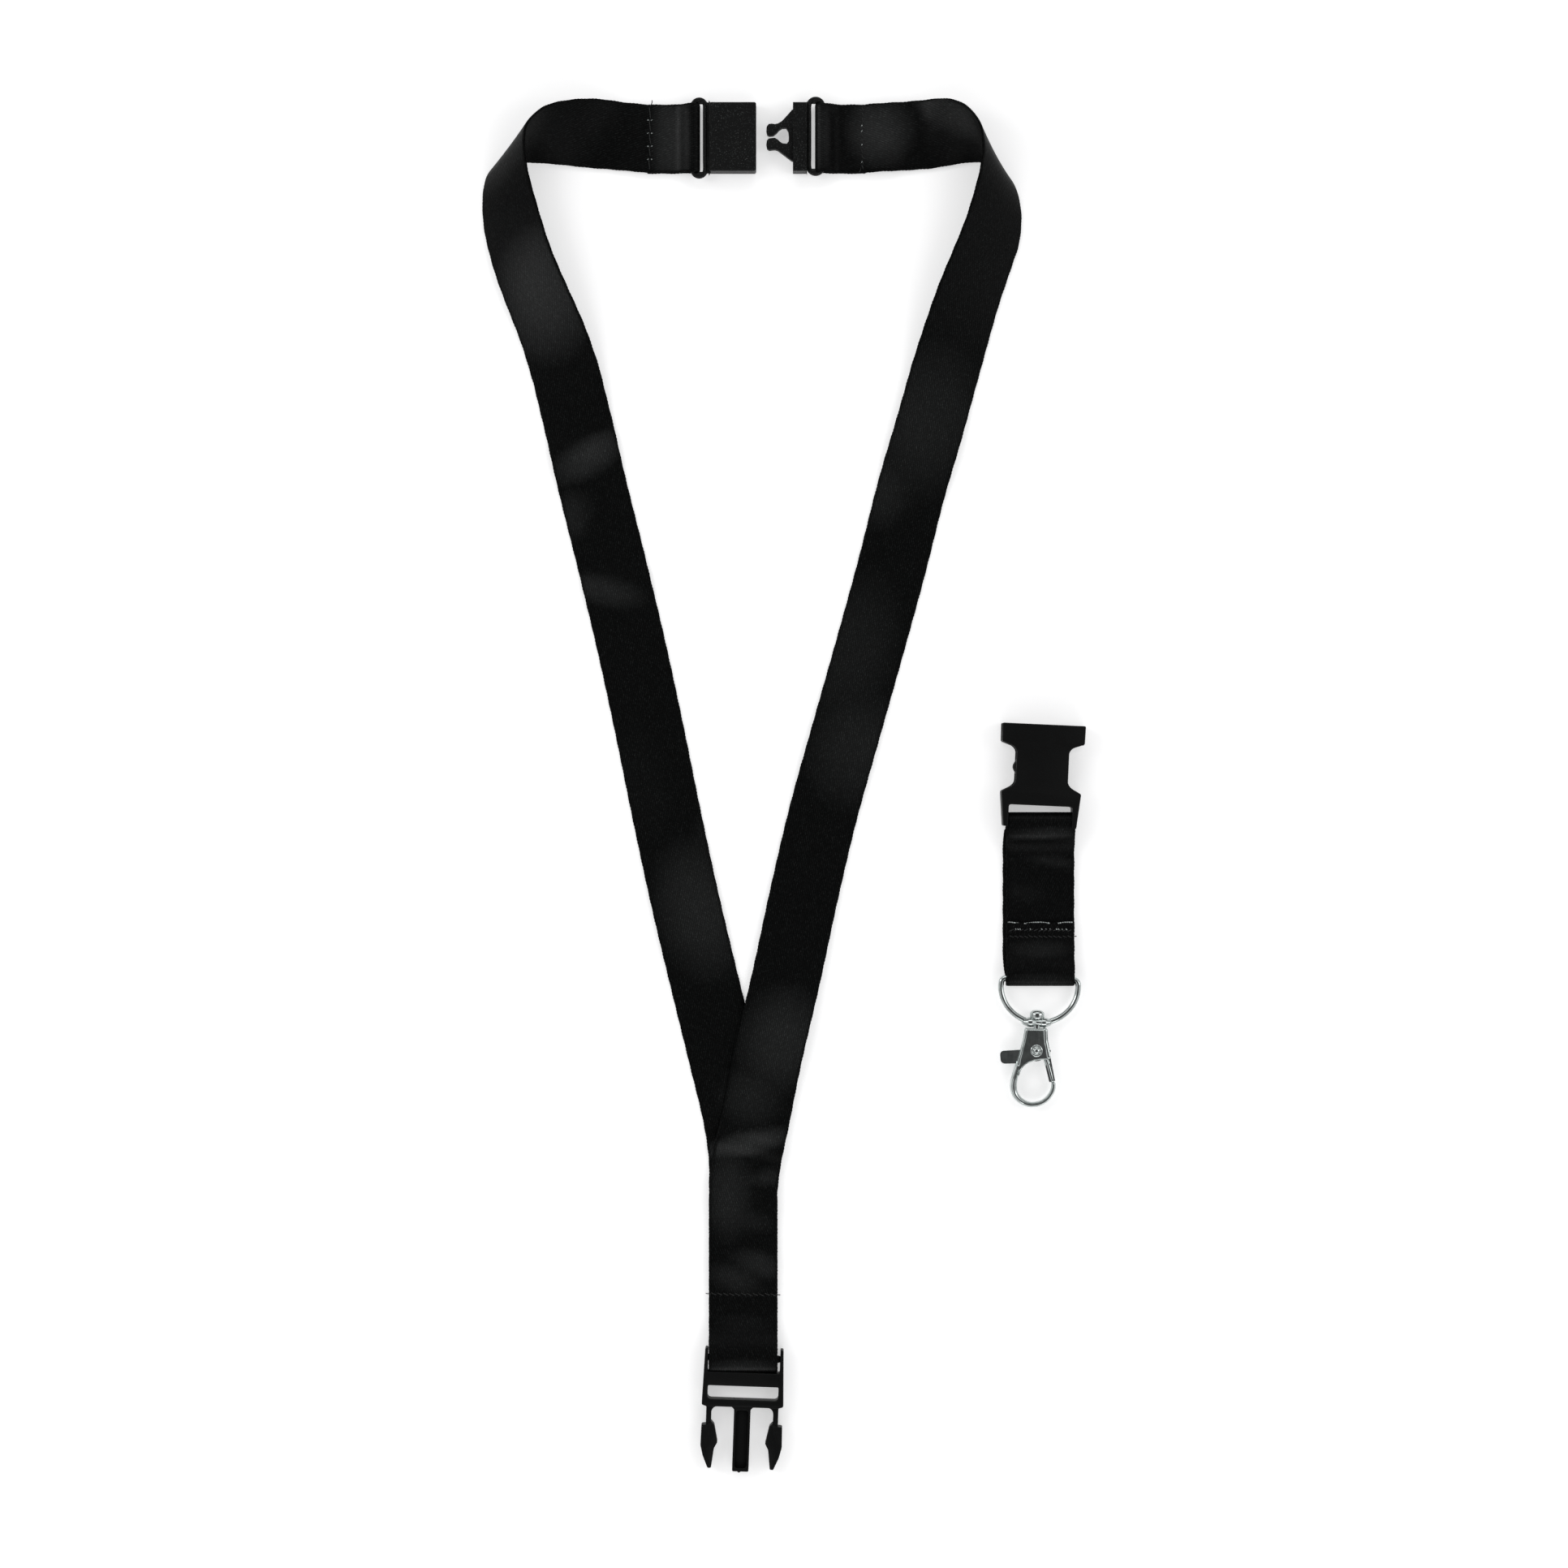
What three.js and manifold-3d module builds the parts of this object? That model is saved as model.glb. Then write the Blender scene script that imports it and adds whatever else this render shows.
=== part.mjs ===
// Lanyard: a satin neck strap with a breakaway buckle and the male half of a side-release buckle,
// and a separate clip strap with the female half, a D-ring and a swivel trigger hook.
// Millimetres. +X right, +Y towards the breakaway buckle, +Z up from the table it lies on.
import * as THREE from 'three';
import { mergeVertices } from 'three/addons/utils/BufferGeometryUtils.js';
import Module from 'manifold-3d';

const wasm = await Module();
wasm.setup();

// Webbing
const WEB_WIDTH = 20;
const WEB_THICK = 0.8;
const TABLE_GAP = 0.05; // lowest face of the webbing above the table
const LAYER_GAP = 0.3; // air between two layers that lie on each other
const LOW_MID = TABLE_GAP + WEB_THICK / 2; // mid plane of webbing on the table
const EDGE_MID = 0.7; // lower edge of webbing that stands on edge
const HIGH_MID = LOW_MID + WEB_THICK + LAYER_GAP; // mid plane of webbing on other webbing
const PIECE_GAP = 0.3; // between two nodes of one strip
const THREAD = 0.35;

// Neck strap
const TOP_Y = 188.1; // centre line of the breakaway buckle
const TAIL_X = -11.9;
const TAIL_TOP_Y = -122; // where the two legs become the doubled tail
const LEG_TOP_Y = 112;

// Breakaway buckle
const RING_BAR_Z = 2.7;
const SOCKET_BAR_X = -26.3;
const CLIP_BAR_X = 10.9;
const RING_BAR_R = 0.8;
const RING_EYE_R = 1.1; // inside of the webbing round the bar
const RING_HALF = 11.7;
const RING_END = 1.3; // thickness of the ring's two ends
const BUCKLE_HALF = 10;
const BUCKLE_HALF_HEIGHT = 2.7;

// Side-release buckle
const MALE_BAR = [-11.6, -167.2, 2.45];
const MALE_TILT = -2.0;
const MALE_BAR_R = 1.1;
const MALE_EYE_R = 1.6;
const MALE_EYE_SLACK = 1.9;
const MALE_HALF_HEIGHT = 2.3;
const FEMALE_BAR = [74.6, -10.9, 3.7];
const FEMALE_TILT = -2.6;
const FEMALE_BAR_R = 1.3;
const FEMALE_EYE_R = 1.95;
const FEMALE_HALF_HEIGHT = 3.7;
const CAVITY_HALF_HEIGHT = 2.6;

// Clip strap, D-ring and hook
const CLIP_X = 74.6;
const RING_BAR = [74.5, -56.7, 2.4];
const RING_TILT = -1.5;
const WIRE_R = 0.85;
const RING_EYE = 1.35;
const SWIVEL_X = -0.5; // swivel axis, from the middle of the D-ring
const RIVET_Y = -20.9; // hook rivet, from the D-ring's bar
const HOOK_HALF = 2; // half the hook body's thickness
const SLOT_HALF = 1.2; // half the lever slot's width
const POST_R = 1.2;
const RIVET_R = 0.8;
const RUNNING_GAP = 0.2;

const SATIN = new THREE.MeshStandardMaterial({ color: 0x0b0b0c, roughness: 0.5, metalness: 0 });
const THREAD_BLACK = new THREE.MeshStandardMaterial({ color: 0x161618, roughness: 0.6, metalness: 0 });
const PLASTIC = new THREE.MeshStandardMaterial({ color: 0x101011, roughness: 0.45, metalness: 0 });
const NICKEL = new THREE.MeshStandardMaterial({ color: 0xc8c8c6, roughness: 0.15, metalness: 1 });
const SPRING_STEEL = new THREE.MeshStandardMaterial({ color: 0x9a9a98, roughness: 0.3, metalness: 1 });

// ---- joining and cutting

function solid(geometry) {
  const plain = geometry.clone();
  plain.deleteAttribute('normal');
  plain.deleteAttribute('uv');
  const merged = mergeVertices(plain, 1e-4);
  return new wasm.Manifold(new wasm.Mesh({
    numProp: 3,
    vertProperties: Float32Array.from(merged.attributes.position.array),
    triVerts: Uint32Array.from(merged.index.array),
  }));
}

function combine(base, added, removed) {
  let body = solid(base);
  for (const geometry of added) {
    body = body.add(solid(geometry));
  }
  for (const geometry of removed) {
    body = body.subtract(solid(geometry));
  }
  const mesh = body.getMesh();
  const geometry = new THREE.BufferGeometry();
  geometry.setAttribute('position', new THREE.BufferAttribute(mesh.vertProperties, 3));
  geometry.setIndex(new THREE.BufferAttribute(mesh.triVerts, 1));
  return geometry;
}

// ---- simple shapes

function block(x0, x1, y0, y1, z0, z1) {
  const box = new THREE.BoxGeometry(x1 - x0, y1 - y0, z1 - z0);
  return box.translate((x0 + x1) / 2, (y0 + y1) / 2, (z0 + z1) / 2);
}

function rodX(radius, x0, x1, segments = 16) {
  const rod = new THREE.CylinderGeometry(radius, radius, x1 - x0, segments);
  return rod.rotateZ(Math.PI / 2).translate((x0 + x1) / 2, 0, 0);
}

function rodY(radius, y0, y1, segments = 16) {
  const rod = new THREE.CylinderGeometry(radius, radius, y1 - y0, segments);
  return rod.translate(0, (y0 + y1) / 2, 0);
}

function rodZ(radius, z0, z1, segments = 20) {
  const rod = new THREE.CylinderGeometry(radius, radius, z1 - z0, segments);
  return rod.rotateX(Math.PI / 2).translate(0, 0, (z0 + z1) / 2);
}

// A flat outline given thickness from z0 to z1, its rims eased by a chamfer.
function plate(shape, z0, z1, chamfer = 0, curveSegments = 10) {
  const geometry = new THREE.ExtrudeGeometry(shape, {
    depth: z1 - z0 - 2 * chamfer,
    curveSegments,
    bevelEnabled: chamfer > 0,
    bevelThickness: chamfer,
    bevelSize: chamfer,
    bevelOffset: -chamfer,
    bevelSegments: 1,
  });
  return geometry.translate(0, 0, z0 + chamfer);
}

function roundedRect(x0, x1, y0, y1, r) {
  const shape = new THREE.Shape();
  shape.moveTo(x0 + r, y0);
  shape.lineTo(x1 - r, y0);
  shape.absarc(x1 - r, y0 + r, r, -Math.PI / 2, 0);
  shape.lineTo(x1, y1 - r);
  shape.absarc(x1 - r, y1 - r, r, 0, Math.PI / 2);
  shape.lineTo(x0 + r, y1);
  shape.absarc(x0 + r, y1 - r, r, Math.PI / 2, Math.PI);
  shape.lineTo(x0, y0 + r);
  shape.absarc(x0 + r, y0 + r, r, Math.PI, 1.5 * Math.PI);
  return shape;
}

function outline(points) {
  return new THREE.Shape(points.map(([x, y]) => new THREE.Vector2(x, y)));
}

// ---- webbing

// Flat webbing between two edges. Each station is [x, y, z] of one edge, then of the other. Both
// faces are split along the same diagonals, so that a twisted stretch keeps its thickness.
function ribbon(stations, steps, strips) {
  const curves = [0, 3].map((k) => new THREE.CatmullRomCurve3(
    stations.map((s) => new THREE.Vector3(s[k], s[k + 1], s[k + 2])),
  ));
  const edges = (u) => curves.map((c) => c.getPoint(u));
  const middle = (u) => {
    const [a, b] = edges(u);
    return a.add(b).multiplyScalar(0.5);
  };
  const ringSize = 2 * (strips + 1);
  const positions = [];
  for (let i = 0; i <= steps; i += 1) {
    const u = i / steps;
    const [a, b] = edges(u);
    const across = a.clone().sub(b).normalize();
    const ahead = middle(Math.min(1, u + 1e-3)).sub(middle(Math.max(0, u - 1e-3))).normalize();
    const normal = new THREE.Vector3().crossVectors(ahead, across).normalize();
    for (let k = 0; k < ringSize; k += 1) {
      const upper = k <= strips;
      const share = upper ? k / strips : (ringSize - 1 - k) / strips;
      const point = middle(u);
      point.addScaledVector(across, WEB_WIDTH * (0.5 - share));
      point.addScaledVector(normal, (upper ? 0.5 : -0.5) * WEB_THICK);
      positions.push(point.x, point.y, point.z);
    }
  }
  const index = [];
  const last = steps * ringSize;
  for (let i = 0; i < steps; i += 1) {
    for (let k = 0; k < ringSize; k += 1) {
      const p = i * ringSize + k;
      const q = i * ringSize + ((k + 1) % ringSize);
      if (k <= strips) {
        index.push(p, p + ringSize, q + ringSize, p, q + ringSize, q);
      } else {
        index.push(p, p + ringSize, q, p + ringSize, q + ringSize, q);
      }
    }
  }
  for (let k = 0; k < strips; k += 1) {
    const [a, b, c, d] = [k, k + 1, ringSize - 2 - k, ringSize - 1 - k];
    index.push(a, b, c, a, c, d);
    index.push(last + a, last + c, last + b, last + a, last + d, last + c);
  }
  const geometry = new THREE.BufferGeometry();
  geometry.setAttribute('position', new THREE.Float32BufferAttribute(positions, 3));
  geometry.setIndex(index);
  return facingOut(geometry);
}

// Turns every triangle over when the body's signed volume comes out negative.
function facingOut(geometry) {
  const p = geometry.attributes.position;
  const index = geometry.index.array;
  const corner = (i) => new THREE.Vector3().fromBufferAttribute(p, i);
  let volume = 0;
  for (let i = 0; i < index.length; i += 3) {
    const [a, b, c] = [corner(index[i]), corner(index[i + 1]), corner(index[i + 2])];
    volume += a.dot(b.cross(c));
  }
  if (volume < 0) {
    for (let i = 0; i < index.length; i += 3) {
      [index[i + 1], index[i + 2]] = [index[i + 2], index[i + 1]];
    }
  }
  return geometry;
}

// Stations of a leg whose centre line runs through [x, y, z] points; the first edge is on side +1 or -1.
function legStations(points, side) {
  const curve = new THREE.CatmullRomCurve3(points.map((p) => new THREE.Vector3(...p)));
  const count = points.length * 2;
  const stations = [];
  for (let i = 0; i <= count; i += 1) {
    const p = curve.getPoint(i / count);
    const t = curve.getTangent(i / count);
    const across = new THREE.Vector3(-t.y, t.x, 0).normalize().multiplyScalar((side * WEB_WIDTH) / 2);
    const [a, b] = [p.clone().add(across), p.clone().sub(across)];
    stations.push([a.x, a.y, a.z, b.x, b.y, b.z]);
  }
  return stations;
}

// Side view of a strip that folds round a bar and lies back on itself. The bar is at the origin of
// the first axis, the strip runs along it to `length`, and heights are measured from the table.
function foldProfile(length, barZ, eyeR, slack, ramp) {
  const outer = eyeR + WEB_THICK;
  const bottom = TABLE_GAP;
  const top = HIGH_MID + WEB_THICK / 2;
  const shape = new THREE.Shape();
  shape.moveTo(length, bottom);
  shape.lineTo(ramp, bottom);
  shape.bezierCurveTo(ramp / 2, bottom, ramp / 2, barZ - outer, 0, barZ - outer);
  shape.lineTo(-slack, barZ - outer);
  shape.absarc(-slack, barZ, outer, -Math.PI / 2, -1.5 * Math.PI, true);
  shape.lineTo(0, barZ + outer);
  shape.bezierCurveTo(ramp / 2, barZ + outer, ramp / 2, top, ramp, top);
  shape.lineTo(length, top);
  shape.lineTo(length, top - WEB_THICK);
  shape.lineTo(ramp, top - WEB_THICK);
  shape.bezierCurveTo(ramp / 2, top - WEB_THICK, ramp / 2, barZ + eyeR, 0, barZ + eyeR);
  shape.lineTo(-slack, barZ + eyeR);
  shape.absarc(-slack, barZ, eyeR, Math.PI / 2, 1.5 * Math.PI, false);
  shape.lineTo(0, barZ - eyeR);
  shape.bezierCurveTo(ramp / 2, barZ - eyeR, ramp / 2, bottom + WEB_THICK, ramp, bottom + WEB_THICK);
  shape.lineTo(length, bottom + WEB_THICK);
  return shape;
}

// A side view made as wide as the webbing; `away` is the direction of its first axis in plan.
function foldedStrip(shape, away, barX, barY) {
  const geometry = new THREE.ExtrudeGeometry(shape, {
    depth: WEB_WIDTH, bevelEnabled: false, curveSegments: 8,
  });
  geometry.translate(0, 0, -WEB_WIDTH / 2);
  const first = new THREE.Vector3(away[0], away[1], 0);
  const up = new THREE.Vector3(0, 0, 1);
  const across = new THREE.Vector3().crossVectors(first, up);
  geometry.applyMatrix4(new THREE.Matrix4().makeBasis(first, up, across));
  return geometry.translate(barX, barY, 0);
}

// A seam's row of stitches, drawn as one staple of thread across the strap and over both edges.
function seamThread(topZ, lowZ, halfWidth = WEB_WIDTH / 2) {
  const inner = halfWidth + 0.15;
  const under = topZ + 0.1;
  return plate(outline([
    [-inner - THREAD, lowZ], [-inner, lowZ], [-inner, under], [inner, under],
    [inner, lowZ], [inner + THREAD, lowZ], [inner + THREAD, under + THREAD],
    [-inner - THREAD, under + THREAD],
  ]), -THREAD / 2, THREAD / 2).rotateX(Math.PI / 2);
}

const leftCorner = [
  [-40.5, 198.2, HIGH_MID, -40.5, 178.2, HIGH_MID],
  [-46.5, 198.8, 1.4, -46, 178.8, 1.2],
  [-53.2, 199.2, 4.2, -53, 179.4, 0.8],
  [-61, 197.8, 10.2, -61.5, 180.3, EDGE_MID],
  [-67.4, 195.8, 14, -70, 181, EDGE_MID],
  [-71.3, 193.1, 15.2, -78.5, 181.3, EDGE_MID],
  [-73.8, 190, 14.8, -84, 179.9, EDGE_MID],
  [-74.6, 186.3, 14.2, -86.4, 177.6, EDGE_MID],
  [-74.5, 182, 13.5, -87.5, 174.2, 0.6],
  [-73.6, 176, 12.4, -88, 169, LOW_MID],
  [-71.5, 168.6, 10.6, -87.5, 162, LOW_MID],
  [-67.6, 157, 9.4, -84.8, 152.5, LOW_MID],
  [-62.6, 144.8, 7.8, -80.7, 139.6, LOW_MID],
  [-57.8, 133, 5.4, -76.4, 127.7, LOW_MID],
  [-54, 121.8, 2.6, -73.1, 117.1, LOW_MID],
  [-51.8, LEG_TOP_Y + 2.3, 0.6, -71.3, LEG_TOP_Y - 2.2, LOW_MID],
];

const rightCorner = [
  [24.4, 198.2, HIGH_MID, 24.4, 178.2, HIGH_MID],
  [31.5, 198.7, 1.4, 31.3, 178.6, 1.2],
  [41.6, 199, 3.6, 40.8, 179.5, 0.8],
  [48, 197.9, 10.4, 48.6, 180.6, EDGE_MID],
  [51.8, 195.7, 14.2, 54.8, 181.4, EDGE_MID],
  [54.4, 192.8, 16, 59.2, 181.2, EDGE_MID],
  [56.2, 189.6, 16.6, 62.6, 179.7, EDGE_MID],
  [57, 186, 16.3, 65.2, 177.2, EDGE_MID],
  [57.1, 182, 15.5, 67.4, 174, 0.6],
  [56.4, 177, 14.2, 68.8, 169.5, LOW_MID],
  [55, 171.5, 12.5, 69.3, 164.5, LOW_MID],
  [52.5, 163.5, 10.7, 68.6, 157.5, LOW_MID],
  [49.7, 156, 9.5, 66.5, 151.5, LOW_MID],
  [44.8, 144.8, 7.8, 62.8, 139.8, LOW_MID],
  [40.8, 133.2, 5.4, 59.4, 128.3, LOW_MID],
  [37.2, 121.8, 2.6, 56.3, 117.3, LOW_MID],
  [34.7, LEG_TOP_Y + 2.7, 0.6, 54, LEG_TOP_Y - 2.6, LOW_MID],
];

const leftLeg = [
  [-61.3, LEG_TOP_Y - PIECE_GAP, LOW_MID],
  [-55.8, 86.5, LOW_MID],
  [-49.9, 62.8, LOW_MID],
  [-44.3, 39.1, LOW_MID],
  [-39.2, 15.4, LOW_MID],
  [-34.4, -8.3, LOW_MID],
  [-29.3, -32, LOW_MID],
  [-23.7, -55.7, LOW_MID],
  [-17.9, -79.4, LOW_MID],
  [-13.6, -97.5, LOW_MID],
  [TAIL_X - 0.1, -109, LOW_MID],
  [TAIL_X, TAIL_TOP_Y + 4, LOW_MID],
  [TAIL_X, TAIL_TOP_Y + PIECE_GAP, LOW_MID],
];

const rightLeg = [
  [44.4, LEG_TOP_Y - PIECE_GAP, LOW_MID],
  [37.3, 86.5, LOW_MID],
  [31.3, 62.8, LOW_MID],
  [24.8, 39.1, LOW_MID],
  [18.1, 15.4, LOW_MID],
  [11.5, -8.3, LOW_MID + 0.1],
  [5.9, -32, HIGH_MID - 0.5],
  [0.8, -55.7, HIGH_MID + 0.2],
  [-4.7, -79.4, HIGH_MID + 0.1],
  [-8.3, -97.5, HIGH_MID],
  [-10.7, -109, HIGH_MID],
  [TAIL_X, TAIL_TOP_Y + 4, HIGH_MID],
  [TAIL_X, TAIL_TOP_Y + PIECE_GAP, HIGH_MID],
];

const LEFT_SEAM_X = -38.6;
const RIGHT_SEAM_X = 22.8;
const TAIL_SEAM_Y = -149;
const LEFT_END = foldProfile(SOCKET_BAR_X + 40.2, RING_BAR_Z, RING_EYE_R, 0, 6);
const RIGHT_END = foldProfile(24.1 - CLIP_BAR_X, RING_BAR_Z, RING_EYE_R, 0, 6);
const TAIL = foldProfile(TAIL_TOP_Y - MALE_BAR[1], MALE_BAR[2], MALE_EYE_R, MALE_EYE_SLACK, 11);

// ---- breakaway buckle, drawn with the ring's outer bar at the origin and the rest on its +X side

function ringWithBar(length, innerFrom) {
  const shape = roundedRect(-RING_BAR_R, length, -RING_HALF, RING_HALF, 2.3);
  const ring = plate(shape, -RING_BAR_R, RING_BAR_R, 0.25, 6);
  const slotHalf = RING_HALF - RING_END;
  const slot = plate(roundedRect(-3, innerFrom, -slotHalf, slotHalf, 0.7), -2, 2, 0, 4);
  const bar = rodY(RING_BAR_R, -RING_HALF + 0.6, RING_HALF - 0.6);
  return combine(combine(ring, [], [slot]), [bar], []);
}

const SOCKET_RING = 4.5; // ring's outer bar centre to the box
const SOCKET_END = 18.2; // to the box's open mouth
const CAVITY_FLOOR = 6.5;

function breakawaySocket() {
  const shape = roundedRect(SOCKET_RING, SOCKET_END, -BUCKLE_HALF, BUCKLE_HALF, 0.6);
  const box = plate(shape, -BUCKLE_HALF_HEIGHT, BUCKLE_HALF_HEIGHT, 0.3, 3);
  const cavity = block(CAVITY_FLOOR, SOCKET_END + 1, -7.5, 7.5, -1.55, 1.55);
  return combine(ringWithBar(SOCKET_RING + 0.5, 2.85), [box], [cavity]);
}

const PRONG_HALF_HEIGHT = 1.2;
const CLIP_RING = 4.1;
const CLIP_BLOCK_END = 8.7;
const PRONG_TIP = 16.2;

// Half of the forked prong, mirrored for the other half: a sweeping arm with a rounded tip.
function prongHalf(sign) {
  const shape = new THREE.Shape();
  shape.moveTo(CLIP_BLOCK_END - 1, sign * 0.2);
  shape.lineTo(CLIP_BLOCK_END + 1.4, sign * 0.2);
  shape.quadraticCurveTo(CLIP_BLOCK_END + 1.4, sign * 2.4, CLIP_BLOCK_END + 3.2, sign * 2.1);
  shape.quadraticCurveTo(CLIP_BLOCK_END + 4.8, sign * 1.4, CLIP_BLOCK_END + 5, sign * 0.2);
  shape.lineTo(PRONG_TIP - 0.6, sign * 0.2);
  shape.quadraticCurveTo(PRONG_TIP, sign * 0.3, PRONG_TIP, sign * 1);
  shape.lineTo(PRONG_TIP, sign * 3);
  shape.quadraticCurveTo(PRONG_TIP, sign * 3.8, PRONG_TIP - 1, sign * 3.8);
  shape.quadraticCurveTo(PRONG_TIP - 2.4, sign * 3.8, PRONG_TIP - 2.7, sign * 3);
  shape.quadraticCurveTo(PRONG_TIP - 4.4, sign * 5.4, CLIP_BLOCK_END, sign * 7.1);
  shape.lineTo(CLIP_BLOCK_END - 1, sign * 7.1);
  return plate(shape, -PRONG_HALF_HEIGHT, PRONG_HALF_HEIGHT, 0, 6);
}

function breakawayClip() {
  const shape = roundedRect(CLIP_RING, CLIP_BLOCK_END, -BUCKLE_HALF, BUCKLE_HALF, 0.5);
  const body = plate(shape, -BUCKLE_HALF_HEIGHT, BUCKLE_HALF_HEIGHT, 0.3, 3);
  const bridge = block(CLIP_BLOCK_END - 0.5, CLIP_BLOCK_END + 1.4, -3, 3, -PRONG_HALF_HEIGHT, PRONG_HALF_HEIGHT);
  return combine(ringWithBar(CLIP_RING + 0.5, 3.3), [body, prongHalf(1), prongHalf(-1), bridge], []);
}

// ---- side-release buckle, drawn with the strap bar at the origin

const ARM_ROOT_Y = -14.3;
const ARM_X = 9.95; // middle of an arm

function maleFrame() {
  const h = MALE_HALF_HEIGHT;
  const frame = roundedRect(-11.9, 11.9, -14, 2.9, 1.2);
  const body = plate(frame, -h, h, 0.4, 5);
  const strapSlot = block(-10.6, 10.6, -4.9, 4, -h - 1, h + 1);
  const opening = plate(roundedRect(-10.4, 10.4, -11.7, -7.9, 1), -h - 1, h + 1, 0, 4);
  const guide = plate(roundedRect(-2.5, 2.5, -32.9, -13, 0.6), -h + 0.2, h - 0.2, 0.3, 3);
  const groove = block(-1.3, 1.3, -31.5, -15.5, h - 0.7, h + 1);
  const stubs = [-1, 1].map((side) => block(
    side * ARM_X - 0.85, side * ARM_X + 0.85, ARM_ROOT_Y, -13, -h + 0.5, h - 0.5,
  ));
  const cut = combine(body, [], [strapSlot, opening]);
  return combine(cut, [rodX(MALE_BAR_R, -11, 11), guide, ...stubs], [groove]);
}

// An arm with its barbed head, for the side +1 or -1.
function maleArm(side) {
  const h = MALE_HALF_HEIGHT - 0.1;
  const arm = outline([
    [10.8, ARM_ROOT_Y - PIECE_GAP], [9.1, ARM_ROOT_Y - PIECE_GAP], [9.1, -17.4], [8, -19.2],
    [6.9, -24.5], [7.8, -25.4], [8.6, -31.8], [9.7, -31.8], [11, -28.6], [12.1, -24.6], [12.1, -18.4],
    [10.8, -17.4],
  ].map(([x, y]) => [side * x, y]));
  return plate(arm, -h, h, 0.35);
}

const FEMALE_LOW = 4.7; // lower edge of the shell above the strap slot
const FEMALE_MOUTH = 28.6;

function releaseSocket() {
  const h = FEMALE_HALF_HEIGHT;
  const half = [
    [11.2, -1.8], [11.7, FEMALE_LOW + 1], [11.9, 8.2], [7.9, 10.9], [7.9, 20.3], [12.1, 23.2],
    [12.2, FEMALE_MOUTH],
  ];
  const mirrored = half.map(([x, y]) => [-x, y]).reverse();
  const shell = plate(outline([...half, ...mirrored]), -h, h, 0.5);
  const strapSlot = block(-10.4, 10.4, -4, FEMALE_LOW, -h - 1, h + 1);
  const mouth = block(-10.8, 10.8, 8.2, FEMALE_MOUTH + 1, -CAVITY_HALF_HEIGHT, CAVITY_HALF_HEIGHT);
  return combine(combine(shell, [], [strapSlot, mouth]), [rodX(FEMALE_BAR_R, -11, 11)], []);
}

// ---- clip strap, drawn in side view with the female buckle's bar at the origin

const CLIP_LAP = 29.5; // to the cut end of the upper flap, which comes up from the D-ring

function clipWebbing() {
  const far = FEMALE_BAR[1] - RING_BAR[1];
  const [topR, endR] = [FEMALE_EYE_R + WEB_THICK, RING_EYE + WEB_THICK];
  const [topZ, endZ] = [FEMALE_BAR[2], RING_BAR[2]];
  const [under, lap, over] = [0.35, 2.1, 2.9];
  const shape = new THREE.Shape();
  shape.moveTo(0, topZ + topR);
  shape.absarc(0, topZ, topR, Math.PI / 2, 1.5 * Math.PI, false);
  shape.bezierCurveTo(5, topZ - topR, 5, under, 11, under);
  shape.lineTo(far, endZ - endR);
  shape.absarc(far, endZ, endR, -Math.PI / 2, Math.PI / 2, false);
  shape.bezierCurveTo(far - 5, endZ + endR, far - 5, over, far - 10, over);
  shape.lineTo(CLIP_LAP, over);
  shape.lineTo(CLIP_LAP, lap);
  shape.lineTo(11, lap);
  shape.bezierCurveTo(5, lap, 5, topZ + topR, 0, topZ + topR);
  const eye = new THREE.Path();
  eye.absarc(0, topZ, FEMALE_EYE_R, 0, 2 * Math.PI, true);
  const ringEye = new THREE.Path();
  ringEye.absarc(far, endZ, RING_EYE, 0, 2 * Math.PI, true);
  shape.holes.push(eye, ringEye);
  return foldedStrip(shape, [0, -1], CLIP_X, FEMALE_BAR[1]);
}

// ---- D-ring, drawn with its straight bar at the origin and the bow on its -Y side

const RING_HALF_OUT = 12.1;
const BOW_Y = -2.2;
const BOW_DEPTH = 11.5;
const COLLAR = { left: -4.4, right: 3.4, low: -14.2, high: -11.6 };

function bowShape(inset) {
  const half = RING_HALF_OUT - inset;
  const top = WIRE_R - inset;
  const corner = Math.max(0.4, 2 - inset);
  const shape = new THREE.Shape();
  shape.moveTo(half, BOW_Y);
  shape.lineTo(half, top - corner);
  shape.quadraticCurveTo(half, top, half - corner, top);
  shape.lineTo(-half + corner, top);
  shape.quadraticCurveTo(-half, top, -half, top - corner);
  shape.lineTo(-half, BOW_Y);
  shape.absellipse(0, BOW_Y, half, BOW_DEPTH - inset, Math.PI, 2 * Math.PI, false, 0);
  return shape;
}

function dRing() {
  const wire = plate(bowShape(0), -WIRE_R, WIRE_R, 0.5, 14);
  const inside = plate(bowShape(2 * WIRE_R), -3, 3, 0, 14);
  const collar = block(COLLAR.left, COLLAR.right, COLLAR.low, COLLAR.high, -HOOK_HALF, HOOK_HALF);
  const bore = rodY(POST_R + RUNNING_GAP, -18, -8).translate(SWIVEL_X, 0, 0);
  const ring = combine(wire, [], [inside]);
  const trimmed = combine(ring, [], [
    block(-RING_HALF_OUT + 2.4, RING_HALF_OUT - 2.4, -WIRE_R - 0.01, WIRE_R + 0.1, -3, 3),
  ]);
  return combine(trimmed, [rodX(WIRE_R, -RING_HALF_OUT + 1.6, RING_HALF_OUT - 1.6, 10), collar], [bore]);
}

// ---- hook, drawn with the gate rivet at the origin and the swivel axis along Y

const SHOULDER_Y = 6.5;
const EYE_CENTRE = [-0.35, -10.1];
const EYE_R = 4.95;
const LOOP_CENTRE = [-0.8, -10];
const LOOP_R = 6.6;
const NOSE_ANGLE = 0.08;

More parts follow.
